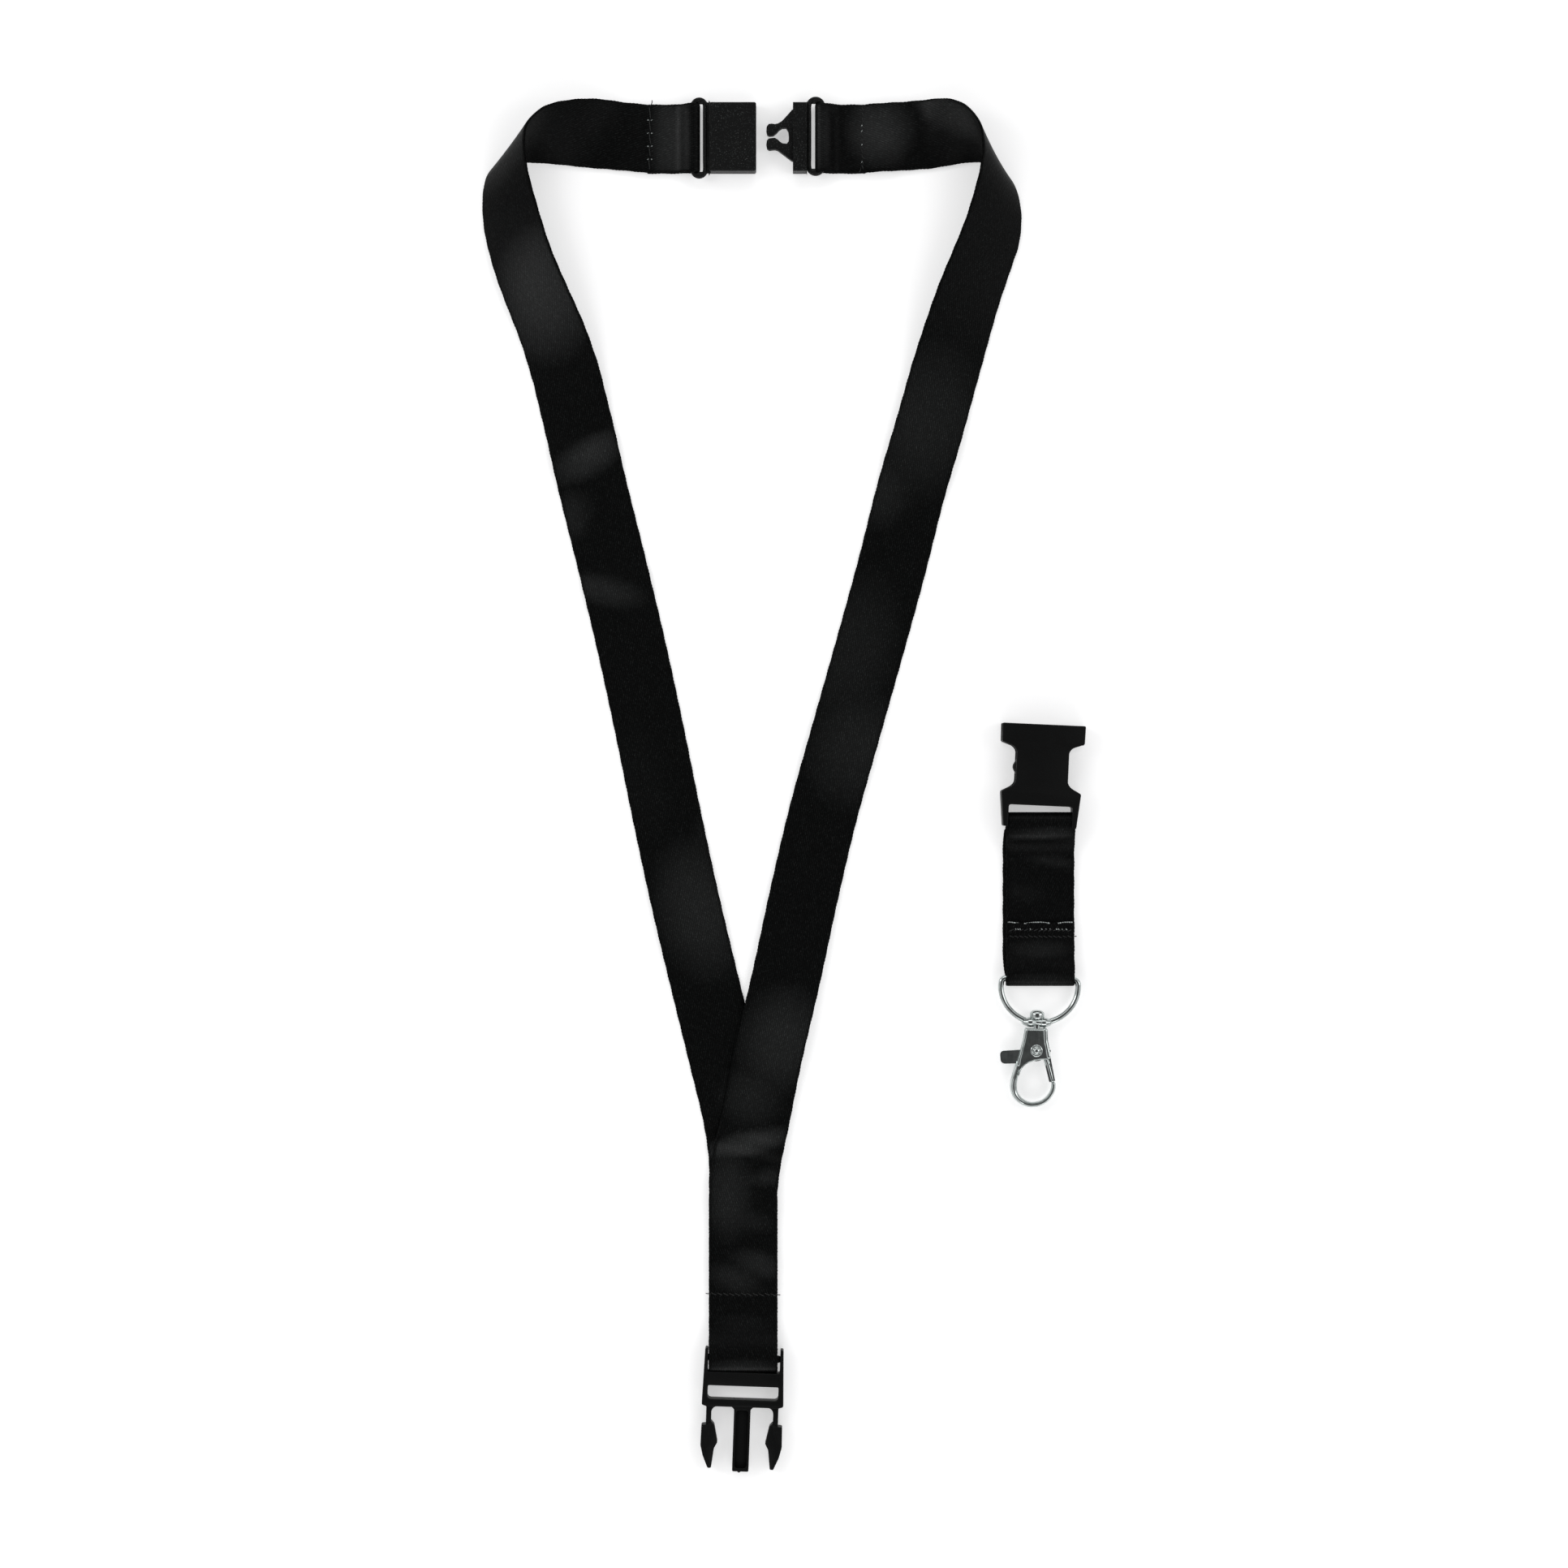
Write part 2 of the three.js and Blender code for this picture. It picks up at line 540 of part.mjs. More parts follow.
function hookBody() {
  const shape = new THREE.Shape();
  shape.moveTo(3.1, SHOULDER_Y);
  shape.lineTo(-3.3, SHOULDER_Y);
  shape.quadraticCurveTo(-3.9, 2, -5.6, -4);
  shape.quadraticCurveTo(-7.1, -7.6, LOOP_CENTRE[0] - LOOP_R, LOOP_CENTRE[1]);
  shape.absarc(...LOOP_CENTRE, LOOP_R, Math.PI, 2 * Math.PI + NOSE_ANGLE, false);
  shape.lineTo(EYE_CENTRE[0] + EYE_R, EYE_CENTRE[1] + 0.4);
  shape.absarc(...EYE_CENTRE, EYE_R, 0, Math.PI, true);
  shape.bezierCurveTo(-5.1, -5.8, -2.4, -2.5, 1.6, -2.3);
  shape.lineTo(4.2, -2.2);
  shape.quadraticCurveTo(3.7, 2, 3.1, SHOULDER_Y);
  const body = plate(shape, -HOOK_HALF, HOOK_HALF, 0.5, 14);
  return combine(body, [], [
    rodZ(4.6, -SLOT_HALF, SLOT_HALF, 24),
    block(-8, -2, -4.3, 0.6, -SLOT_HALF, SLOT_HALF),
    block(1.5, 6, -4, 0.6, -SLOT_HALF, SLOT_HALF),
    rodZ(RIVET_R + RUNNING_GAP, -4, 4),
    rodY(POST_R + RUNNING_GAP, 4, 8),
  ]);
}

function swivelPost() {
  const profile = [
    [0, 5], [POST_R, 5], [POST_R, 9.5], [2.1, 9.5], [2.1, 10.9], [1.6, 11.6], [0, 11.7],
  ].map(([x, y]) => new THREE.Vector2(x, y));
  return combine(new THREE.LatheGeometry(profile, 20), [], []);
}

const LEVER_LOW = -0.9;
const LEVER_HIGH = 0.3;

function gateLever() {
  const tab = new THREE.Shape();
  tab.moveTo(-3, 0.2);
  tab.lineTo(-9.6, -0.35);
  tab.quadraticCurveTo(-10.5, -0.6, -10.5, -1.6);
  tab.lineTo(-10.3, -3.2);
  tab.quadraticCurveTo(-10, -4.1, -8.9, -4.1);
  tab.lineTo(-4.6, -3.9);
  tab.lineTo(-1.5, -2.6);
  const arm = outline([[2, -0.5], [4.2, -1.7], [5.7, -8.6], [4, -9.1], [2.2, -2.4], [0.5, -2]]);
  const thickArm = outline([[4.2, -3.6], [5.7, -8.6], [4, -9.1], [2.8, -4.6], [3, -3.9]]);
  const hub = rodZ(3.2, LEVER_LOW, LEVER_HIGH);
  const added = [
    plate(tab, LEVER_LOW, LEVER_HIGH, 0, 4),
    plate(arm, LEVER_LOW, LEVER_HIGH),
    plate(thickArm, LEVER_LOW, 0.9),
  ];
  return combine(hub, added, [rodZ(RIVET_R + RUNNING_GAP, -3, 3)]);
}

function gateRivet() {
  const headZ = HOOK_HALF + 0.1;
  const shank = rodZ(RIVET_R, -headZ - 0.1, headZ + 0.1);
  return combine(shank, [rodZ(1.75, headZ, headZ + 0.4), rodZ(1.75, -headZ - 0.25, -headZ)], []);
}

function gateSpring() {
  const wire = combine(rodZ(2.4, 0.45, 1.0, 24), [], [rodZ(1.5, 0, 2, 20)]);
  const legs = [block(1.9, 4.2, -0.3, 0.3, 0.45, 1.0), block(-4.2, -1.9, -0.3, 0.3, 0.45, 1.0)];
  return combine(wire, legs, []);
}

// ---- assembly

const lanyard = new THREE.Group();

function add(parent, name, geometry, material) {
  const mesh = new THREE.Mesh(geometry, material);
  mesh.name = name;
  parent.add(mesh);
  return mesh;
}

function frameAt([x, y, z], degrees, parent = lanyard) {
  const group = new THREE.Group();
  group.position.set(x, y, z);
  group.rotation.z = THREE.MathUtils.degToRad(degrees);
  parent.add(group);
  return group;
}

add(lanyard, 'webbing_left_end', foldedStrip(LEFT_END, [-1, 0], SOCKET_BAR_X, TOP_Y), SATIN);
add(lanyard, 'webbing_left_corner', ribbon(leftCorner, 60, 4), SATIN);
add(lanyard, 'webbing_left_leg', ribbon(legStations(leftLeg, 1), 36, 1), SATIN);
add(lanyard, 'webbing_right_leg', ribbon(legStations(rightLeg, -1), 36, 1), SATIN);
add(lanyard, 'webbing_right_corner', ribbon(rightCorner, 60, 4), SATIN);
add(lanyard, 'webbing_right_end', foldedStrip(RIGHT_END, [1, 0], CLIP_BAR_X, TOP_Y), SATIN);
add(lanyard, 'webbing_tail_loop', foldedStrip(TAIL, [0, 1], TAIL_X, MALE_BAR[1]), SATIN);

const seamTop = HIGH_MID + WEB_THICK / 2;
const leftSeam = add(lanyard, 'left_seam_thread', seamThread(seamTop, 0.2), THREAD_BLACK);
leftSeam.rotation.z = Math.PI / 2;
leftSeam.position.set(LEFT_SEAM_X, TOP_Y, 0);
const rightSeam = add(lanyard, 'right_seam_thread', seamThread(seamTop, 0.2), THREAD_BLACK);
rightSeam.rotation.z = Math.PI / 2;
rightSeam.position.set(RIGHT_SEAM_X, TOP_Y, 0);
const tailSeam = add(lanyard, 'tail_seam_thread', seamThread(seamTop, 0.2), THREAD_BLACK);
tailSeam.position.set(TAIL_X, TAIL_SEAM_Y, 0);

add(frameAt([SOCKET_BAR_X, TOP_Y, RING_BAR_Z], 0), 'breakaway_socket', breakawaySocket(), PLASTIC);
add(frameAt([CLIP_BAR_X, TOP_Y, RING_BAR_Z], 180), 'breakaway_clip', breakawayClip(), PLASTIC);

const male = frameAt(MALE_BAR, MALE_TILT);
add(male, 'release_male_frame', maleFrame(), PLASTIC);
add(male, 'release_arm_left', maleArm(-1), PLASTIC);
add(male, 'release_arm_right', maleArm(1), PLASTIC);

add(frameAt(FEMALE_BAR, FEMALE_TILT), 'release_socket', releaseSocket(), PLASTIC);
add(lanyard, 'clip_webbing', clipWebbing(), SATIN);
for (const [name, y] of [['clip_seam_thread_upper', -42.5], ['clip_seam_thread_lower', -44.5]]) {
  const thread = add(lanyard, name, seamThread(2.95, 0.5), THREAD_BLACK);
  thread.position.set(CLIP_X, y, 0);
}

const ring = frameAt(RING_BAR, RING_TILT);
add(ring, 'd_ring', dRing(), NICKEL);
const hook = frameAt([SWIVEL_X, RIVET_Y, 0], 0, ring);
add(hook, 'hook_body', hookBody(), NICKEL);
add(hook, 'swivel_post', swivelPost(), NICKEL);
add(hook, 'gate_lever', gateLever(), NICKEL);
add(hook, 'gate_rivet', gateRivet(), NICKEL);
add(hook, 'gate_spring', gateSpring(), SPRING_STEEL);

export default lanyard;
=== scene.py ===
import math

import bmesh
import bpy
import numpy as np
from mathutils import Matrix, Vector


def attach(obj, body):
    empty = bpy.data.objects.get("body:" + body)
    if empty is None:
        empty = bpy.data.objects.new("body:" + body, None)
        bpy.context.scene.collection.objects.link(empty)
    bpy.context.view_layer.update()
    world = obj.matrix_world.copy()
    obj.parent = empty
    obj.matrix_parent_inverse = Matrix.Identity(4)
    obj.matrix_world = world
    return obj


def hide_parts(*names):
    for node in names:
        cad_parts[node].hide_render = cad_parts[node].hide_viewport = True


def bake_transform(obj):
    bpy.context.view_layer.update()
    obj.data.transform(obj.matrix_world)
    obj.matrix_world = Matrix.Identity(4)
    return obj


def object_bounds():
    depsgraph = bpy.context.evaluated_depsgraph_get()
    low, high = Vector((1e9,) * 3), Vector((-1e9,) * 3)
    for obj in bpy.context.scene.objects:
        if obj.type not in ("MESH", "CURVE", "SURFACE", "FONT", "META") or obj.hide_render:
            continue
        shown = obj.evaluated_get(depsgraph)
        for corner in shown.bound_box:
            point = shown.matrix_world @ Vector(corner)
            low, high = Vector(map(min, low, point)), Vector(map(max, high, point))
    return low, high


# A satin lanyard lies open on a table: a neck strap with a breakaway buckle and the male half of a
# side-release buckle, and a clip strap with the female half, a D-ring and a trigger hook.
# Shapes are drawn in millimetres, x to the right, y up the strap and z up from the table.

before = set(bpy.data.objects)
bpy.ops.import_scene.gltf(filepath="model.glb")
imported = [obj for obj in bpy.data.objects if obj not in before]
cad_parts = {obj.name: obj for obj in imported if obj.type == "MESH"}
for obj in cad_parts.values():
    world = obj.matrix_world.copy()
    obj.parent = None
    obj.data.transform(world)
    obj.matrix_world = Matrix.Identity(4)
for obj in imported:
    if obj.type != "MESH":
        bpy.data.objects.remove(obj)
cad_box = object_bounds()

MM = 0.001
scene = bpy.context.scene


# ---- camera, light and floor

CAMERA_HEIGHT = 0.96
VIEW_WIDTH = 0.4579  # how much of the table the picture is wide
SENSOR = 36
FLOOR_HALF = 3.0
FLOOR_GAP = 0.05 * MM
SKY_TINT = (1, 1, 1.01)

camera_data = bpy.data.cameras.new("camera")
camera_data.sensor_width = SENSOR
camera_data.lens = SENSOR * CAMERA_HEIGHT / VIEW_WIDTH
camera = bpy.data.objects.new("camera", camera_data)
camera.location = (0, 0, CAMERA_HEIGHT)
scene.collection.objects.link(camera)
scene.camera = camera
scene.view_settings.view_transform = "Standard"


def area_light(name, place, target, size, power):
    """A rectangular softbox that faces a target."""
    data = bpy.data.lights.new(name, "AREA")
    data.shape = "RECTANGLE"
    data.size, data.size_y = size
    data.energy = power
    light = bpy.data.objects.new(name, data)
    light.location = place
    away = Vector(place) - Vector(target)
    light.rotation_euler = away.to_track_quat("Z", "Y").to_euler()
    scene.collection.objects.link(light)


area_light("softbox_left", (-0.9, 0.35, 0.75), (0, 0, 0), (0.35, 0.9), 2.4)
area_light("softbox_right", (0.9, 0.1, 0.7), (0, 0, 0), (0.35, 0.9), 1.6)
area_light("softbox_top", (0.0, 1.0, 0.8), (0, 0.05, 0), (1.0, 0.3), 1.6)
area_light("softbox_front", (0.1, -1.0, 0.6), (0, 0, 0), (1.0, 0.3), 2.2)


def set_stops(ramp, stops, tint):
    """Grey steps (position, grey) along a colour ramp, times a tint."""
    while len(ramp.elements) < len(stops):
        ramp.elements.new(0.5)
    for element, (position, grey) in zip(ramp.elements, stops):
        element.position = position
        element.color = (grey * tint[0], grey * tint[1], grey * tint[2], 1)


def set_world():
    """A bright band of sky under a dark zenith, as in a light tent with a hole for the camera."""
    world = bpy.data.worlds.new("studio")
    scene.world = world
    world.use_nodes = True
    nodes, links = world.node_tree.nodes, world.node_tree.links
    nodes.clear()
    place = nodes.new("ShaderNodeTexCoord")
    split = nodes.new("ShaderNodeSeparateXYZ")
    ramp = nodes.new("ShaderNodeValToRGB")
    stops = [(0.0, 0.25), (0.3, 0.5), (0.6, 1.0), (0.8, 0.5), (0.93, 0.09)]
    set_stops(ramp.color_ramp, stops, SKY_TINT)
    background = nodes.new("ShaderNodeBackground")
    out = nodes.new("ShaderNodeOutputWorld")
    links.new(place.outputs["Generated"], split.inputs[0])
    links.new(split.outputs["Z"], ramp.inputs[0])
    links.new(ramp.outputs[0], background.inputs["Color"])
    links.new(background.outputs[0], out.inputs["Surface"])


set_world()


def new_material(name):
    """A material with its nodes, links and shader."""
    material = bpy.data.materials.new(name)
    material.use_nodes = True
    tree = material.node_tree
    return material, tree.nodes, tree.links, tree.nodes["Principled BSDF"]


def make_floor():
    material, nodes, links, shader = new_material("floor_white")
    shader.inputs["Base Color"].default_value = (0.8, 0.8, 0.8, 1)
    shader.inputs["Roughness"].default_value = 0.9
    shader.inputs["Specular IOR Level"].default_value = 0.1
    shader.inputs["Emission Color"].default_value = (1, 1, 1, 1)
    shader.inputs["Emission Strength"].default_value = 0.45
    mesh = bpy.data.meshes.new("floor")
    z = cad_box[0][2] - FLOOR_GAP
    around = ((-1, -1), (1, -1), (1, 1), (-1, 1))
    corners = [(x * FLOOR_HALF, y * FLOOR_HALF, z) for x, y in around]
    mesh.from_pydata(corners, [], [(0, 1, 2, 3)])
    floor = bpy.data.objects.new("floor", mesh)
    floor.data.materials.append(material)
    scene.collection.objects.link(floor)


make_floor()

# ---- materials

OBJECT_TINT = (0.97, 1.04, 1.02)
TWILL_PERIOD = 0.62  # mm between the diagonal lines of the weave
TWILL_ANGLE = 24  # degrees from the strap's length
PICK_PERIOD = 0.5  # mm between the crossing threads


def math_node(nodes, links, operation, a, b=None):
    """One sum, on numbers or on sockets."""
    node = nodes.new("ShaderNodeMath")
    node.operation = operation
    for slot, value in enumerate((a, b)):
        if value is None:
            continue
        if isinstance(value, (int, float)):
            node.inputs[slot].default_value = value
        else:
            links.new(value, node.inputs[slot])
    return node.outputs[0]


def ramp_node(nodes, links, source, stops):
    """Greys with the slight green cast of the blacks and of the nickel."""
    node = nodes.new("ShaderNodeValToRGB")
    set_stops(node.color_ramp, stops, OBJECT_TINT)
    links.new(source, node.inputs[0])
    return node.outputs[0]


def noise_node(nodes, links, place, scale, detail):
    node = nodes.new("ShaderNodeTexNoise")
    node.inputs["Scale"].default_value = scale
    node.inputs["Detail"].default_value = detail
    links.new(place, node.inputs["Vector"])
    return node.outputs["Fac"]


def bump_node(nodes, links, height, strength, distance):
    node = nodes.new("ShaderNodeBump")
    node.inputs["Strength"].default_value = strength
    node.inputs["Distance"].default_value = distance
    links.new(height, node.inputs["Height"])
    return node.outputs[0]



def satin_material():
    """Black polyester satin: diagonal floats, sparkling filaments and patches of painted sheen,
    where the cloth's colour is lightened and its shine raised as a painted highlight.
    """
    material, nodes, links, shader = new_material("black_satin")
    place = nodes.new("ShaderNodeAttribute")
    place.attribute_name = "strap_mm"
    split = nodes.new("ShaderNodeSeparateXYZ")
    links.new(place.outputs["Vector"], split.inputs[0])
    across, along = split.outputs["X"], split.outputs["Y"]
    angle = math.radians(TWILL_ANGLE)
    turn = 2 * math.pi / TWILL_PERIOD
    diagonal = math_node(
        nodes, links, "ADD",
        math_node(nodes, links, "MULTIPLY", across, turn * math.cos(angle)),
        math_node(nodes, links, "MULTIPLY", along, turn * math.sin(angle)),
    )
    line = math_node(nodes, links, "SINE", diagonal)
    pick = math_node(nodes, links, "SINE", math_node(
        nodes, links, "MULTIPLY", along, 2 * math.pi / PICK_PERIOD))
    fibre_place = nodes.new("ShaderNodeMapping")
    fibre_place.inputs["Scale"].default_value = (9, 1.4, 1)
    links.new(place.outputs["Vector"], fibre_place.inputs["Vector"])
    fibres = noise_node(nodes, links, fibre_place.outputs[0], 1.0, 3)
    cloth = noise_node(nodes, links, place.outputs["Vector"], 0.25, 2)
    weave = math_node(nodes, links, "ADD", line, math_node(nodes, links, "MULTIPLY", pick, 0.45))
    height = math_node(nodes, links, "ADD", weave, math_node(
        nodes, links, "MULTIPLY", fibres, 2.0))
    # The painted sheen, per point on the strap: it mixes in a lighter colour and raises the shine.
    sheen = nodes.new("ShaderNodeAttribute")
    sheen.attribute_name = "sheen"
    painted_sheen_fac = sheen.outputs["Fac"]
    shade = math_node(nodes, links, "ADD", math_node(
        nodes, links, "MULTIPLY", weave, 0.06), fibres)
    floats = ramp_node(nodes, links, shade, [(0.38, 0.0009), (0.6, 0.0026), (0.82, 0.022)])
    # A lighter copy of the cloth's colour, mixed in by the painted sheen as a painted highlight.
    lit = ramp_node(nodes, links, shade, [(0.32, 0.005), (0.6, 0.017), (0.82, 0.075)])
    mix = nodes.new("ShaderNodeMix")
    mix.data_type = "RGBA"
    links.new(painted_sheen_fac, mix.inputs["Factor"])
    links.new(floats, mix.inputs["A"])
    links.new(lit, mix.inputs["B"])
    links.new(mix.outputs["Result"], shader.inputs["Base Color"])
    links.new(
        ramp_node(nodes, links, math_node(nodes, links, "ADD", fibres, math_node(
            nodes, links, "MULTIPLY", cloth, 0.2)), [(0.35, 0.5), (0.8, 0.34)]),
        shader.inputs["Roughness"],
    )
    # The painted sheen also raises the shine where it lies.
    links.new(
        math_node(nodes, links, "ADD", math_node(nodes, links, "MULTIPLY", painted_sheen_fac, 0.26), 0.035),
        shader.inputs["Specular IOR Level"],
    )
    links.new(bump_node(nodes, links, height, 0.4, 0.03 * MM), shader.inputs["Normal"])
    return material


def plastic_material(name, base, peak, shine):
    """Black moulded acetal with a fine speckled grain."""
    material, nodes, links, shader = new_material(name)
    place = nodes.new("ShaderNodeTexCoord").outputs["Object"]
    grain = noise_node(nodes, links, place, 2600, 3)
    speckle = noise_node(nodes, links, place, 3400, 1)
    worn = noise_node(nodes, links, place, 90, 3)
    links.new(
        ramp_node(nodes, links, speckle, [(0.54, base), (0.62, base * 2), (0.76, peak)]),
        shader.inputs["Base Color"],
    )
    links.new(
        ramp_node(nodes, links, math_node(nodes, links, "ADD", math_node(
            nodes, links, "MULTIPLY", worn, 0.4), math_node(
            nodes, links, "MULTIPLY", speckle, 0.5)), [(0.3, 0.55), (0.6, 0.38)]),
        shader.inputs["Roughness"],
    )
    shader.inputs["Specular IOR Level"].default_value = shine
    links.new(bump_node(nodes, links, grain, 0.35, 0.05 * MM), shader.inputs["Normal"])
    return material


def nickel_material():
    """Polished nickel plate over a casting: slow ripples, faint tarnish and hairline scratches."""
    material, nodes, links, shader = new_material("nickel_plate")
    place = nodes.new("ShaderNodeTexCoord").outputs["Object"]
    ripple = noise_node(nodes, links, place, 260, 2)
    tarnish = noise_node(nodes, links, place, 500, 4)
    scratch_place = nodes.new("ShaderNodeMapping")
    scratch_place.inputs["Rotation"].default_value = (0, 0, 0.6)
    scratch_place.inputs["Scale"].default_value = (4000, 180, 4000)
    links.new(place, scratch_place.inputs["Vector"])
    scratches = noise_node(nodes, links, scratch_place.outputs[0], 1.0, 2)
    links.new(
        ramp_node(nodes, links, tarnish, [(0.3, 0.42), (0.55, 0.54), (0.8, 0.6)]),
        shader.inputs["Base Color"],
    )
    links.new(
        ramp_node(nodes, links, scratches, [(0.35, 0.09), (0.6, 0.14), (0.8, 0.26)]),
        shader.inputs["Roughness"],
    )
    shader.inputs["Metallic"].default_value = 1
    links.new(bump_node(nodes, links, ripple, 0.25, 0.12 * MM), shader.inputs["Normal"])
    return material


def thread_material(name, dark, light):
    """Sewing thread, its plies twisted round each other."""
    material, nodes, links, shader = new_material(name)
    place = nodes.new("ShaderNodeTexCoord").outputs["Object"]
    wave = nodes.new("ShaderNodeTexWave")
    wave.bands_direction = "DIAGONAL"
    wave.inputs["Scale"].default_value = 900
    links.new(place, wave.inputs["Vector"])
    ply = wave.outputs["Fac"]
    links.new(
        ramp_node(nodes, links, ply, [(0.2, dark), (0.8, light)]),
        shader.inputs["Base Color"],
    )
    shader.inputs["Roughness"].default_value = 0.5
    shader.inputs["Specular IOR Level"].default_value = 0.3
    links.new(bump_node(nodes, links, ply, 0.5, 0.05 * MM), shader.inputs["Normal"])
    return material


SATIN = satin_material()
GRAINED = plastic_material("grained_plastic", 0.0025, 0.055, 0.16)
PLASTIC = plastic_material("smooth_plastic", 0.002, 0.006, 0.13)
NICKEL = nickel_material()
THREAD = thread_material("black_thread", 0.002, 0.014)
# Painted glints: a light grey thread for short stitches where the black seams shine.
PAINTED_GLINT = thread_material("painted_glint_thread", 0.08, 0.4)
# The sealed cut end of the black webbing, coloured light grey as a painted highlight along it.
SEALED_HIGHLIGHT = thread_material("sealed_edge_painted_highlight", 0.12, 0.5)

# ---- webbing, in millimetres until the mesh is made

WEB_WIDTH = 20
WEB_THICK = 0.8
LOW = 0.45  # middle of webbing that lies on the table
HIGH = 1.55  # middle of webbing that lies on other webbing
EDGE = 0.7  # lower edge of webbing that stands on edge
TOP_Y = 188.1  # middle of the webbing between the upper corners
TAIL_X = -11.9
TAIL_TOP_Y = -122
RING_Z = 2.7  # bars of the breakaway buckle's two rings
RING_EYE = 1.1 + WEB_THICK / 2
MALE_EYE = 1.6 + WEB_THICK / 2
MALE_SLACK = 1.9  # how far the tail's loop reaches past its bar
LEFT_FLAP = 13.6  # from a ring's bar to the end of the strip that is sewn down
RIGHT_FLAP = 12.9
FLAP_RAMP = 6
TAIL_RAMP = 11
MALE_BAR = (-11.6, -167.2, 2.45)
FEMALE_BAR = (74.6, -10.9, 3.7)
RING_BAR = (74.5, -56.7, 2.4)
HOOK_RIVET = (73.453, -77.58, 2.4)

# Stations round a corner: x, y, z of the webbing's one edge and then of its other.
LEFT_CORNER = [
    [-40.5, 198.2, HIGH, -40.5, 178.2, HIGH],
    [-46.5, 198.8, 1.4, -46, 178.8, 1.2],
    [-53.2, 199.2, 4.2, -53, 179.4, 0.8],
    [-61, 197.8, 10.2, -61.5, 180.3, EDGE],
    [-67.4, 195.8, 14, -70, 181, EDGE],
    [-71.3, 193.1, 15.2, -78.5, 181.3, EDGE],
    [-73.8, 190, 14.8, -84, 179.9, EDGE],
    [-74.6, 186.3, 14.2, -86.4, 177.6, EDGE],
    [-74.5, 182, 13.5, -87.5, 174.2, 0.6],
    [-73.6, 176, 12.4, -88, 169, LOW],
    [-71.5, 168.6, 10.6, -87.5, 162, LOW],
    [-67.6, 157, 9.4, -84.8, 152.5, LOW],
    [-62.6, 144.8, 7.8, -80.7, 139.6, LOW],
    [-57.8, 133, 5.4, -76.4, 127.7, LOW],
    [-54, 121.8, 2.6, -73.1, 117.1, LOW],
]
RIGHT_CORNER = [
    [24.4, 198.2, HIGH, 24.4, 178.2, HIGH],
    [31.5, 198.7, 1.4, 31.3, 178.6, 1.2],
    [41.6, 199, 3.6, 40.8, 179.5, 0.8],
    [48, 197.9, 10.4, 48.6, 180.6, EDGE],
    [51.8, 195.7, 14.2, 54.8, 181.4, EDGE],
    [54.4, 192.8, 16, 59.2, 181.2, EDGE],
    [56.2, 189.6, 16.6, 62.6, 179.7, EDGE],
    [57, 186, 16.3, 65.2, 177.2, EDGE],
    [57.1, 182, 15.5, 67.4, 174, 0.6],
    [56.4, 177, 14.2, 68.8, 169.5, LOW],
    [55, 171.5, 12.5, 69.3, 164.5, LOW],
    [52.5, 163.5, 10.7, 68.6, 157.5, LOW],
    [49.7, 156, 9.5, 66.5, 151.5, LOW],
    [44.8, 144.8, 7.8, 62.8, 139.8, LOW],
    [40.8, 133.2, 5.4, 59.4, 128.3, LOW],
    [37.2, 121.8, 2.6, 56.3, 117.3, LOW],
]
# The middle of each leg.
LEFT_LEG = [
    [-59.2, 101.5, LOW], [-55.8, 86.5, LOW], [-49.9, 62.8, LOW], [-44.3, 39.1, LOW],
    [-39.2, 15.4, LOW], [-34.4, -8.3, LOW], [-29.3, -32, LOW], [-23.7, -55.7, LOW],
    [-17.9, -79.4, LOW], [-13.6, -97.5, LOW], [TAIL_X - 0.1, -109, LOW], [TAIL_X, -118, LOW],
]
RIGHT_LEG = [
    [41.7, 101.5, LOW], [37.3, 86.5, LOW], [31.3, 62.8, LOW], [24.8, 39.1, LOW],
    [18.1, 15.4, LOW], [11.5, -8.3, LOW + 0.1], [5.9, -32, HIGH - 0.5], [0.8, -55.7, HIGH + 0.2],
    [-4.7, -79.4, HIGH + 0.1], [-8.3, -97.5, HIGH], [-10.7, -109, HIGH], [TAIL_X, -118, HIGH],
]


# The painted sheen: its least value everywhere, the edge width and fade where it falls to none so
# the edges stay darker, and how far and how softly each patch spreads.
LEAST_PAINTED_SHEEN = 0.06
SELVEDGE = 0.25
SELVEDGE_FADE = 0.8
PATCH_SPREAD = 1.5
PATCH_FALLOFF = 1.4

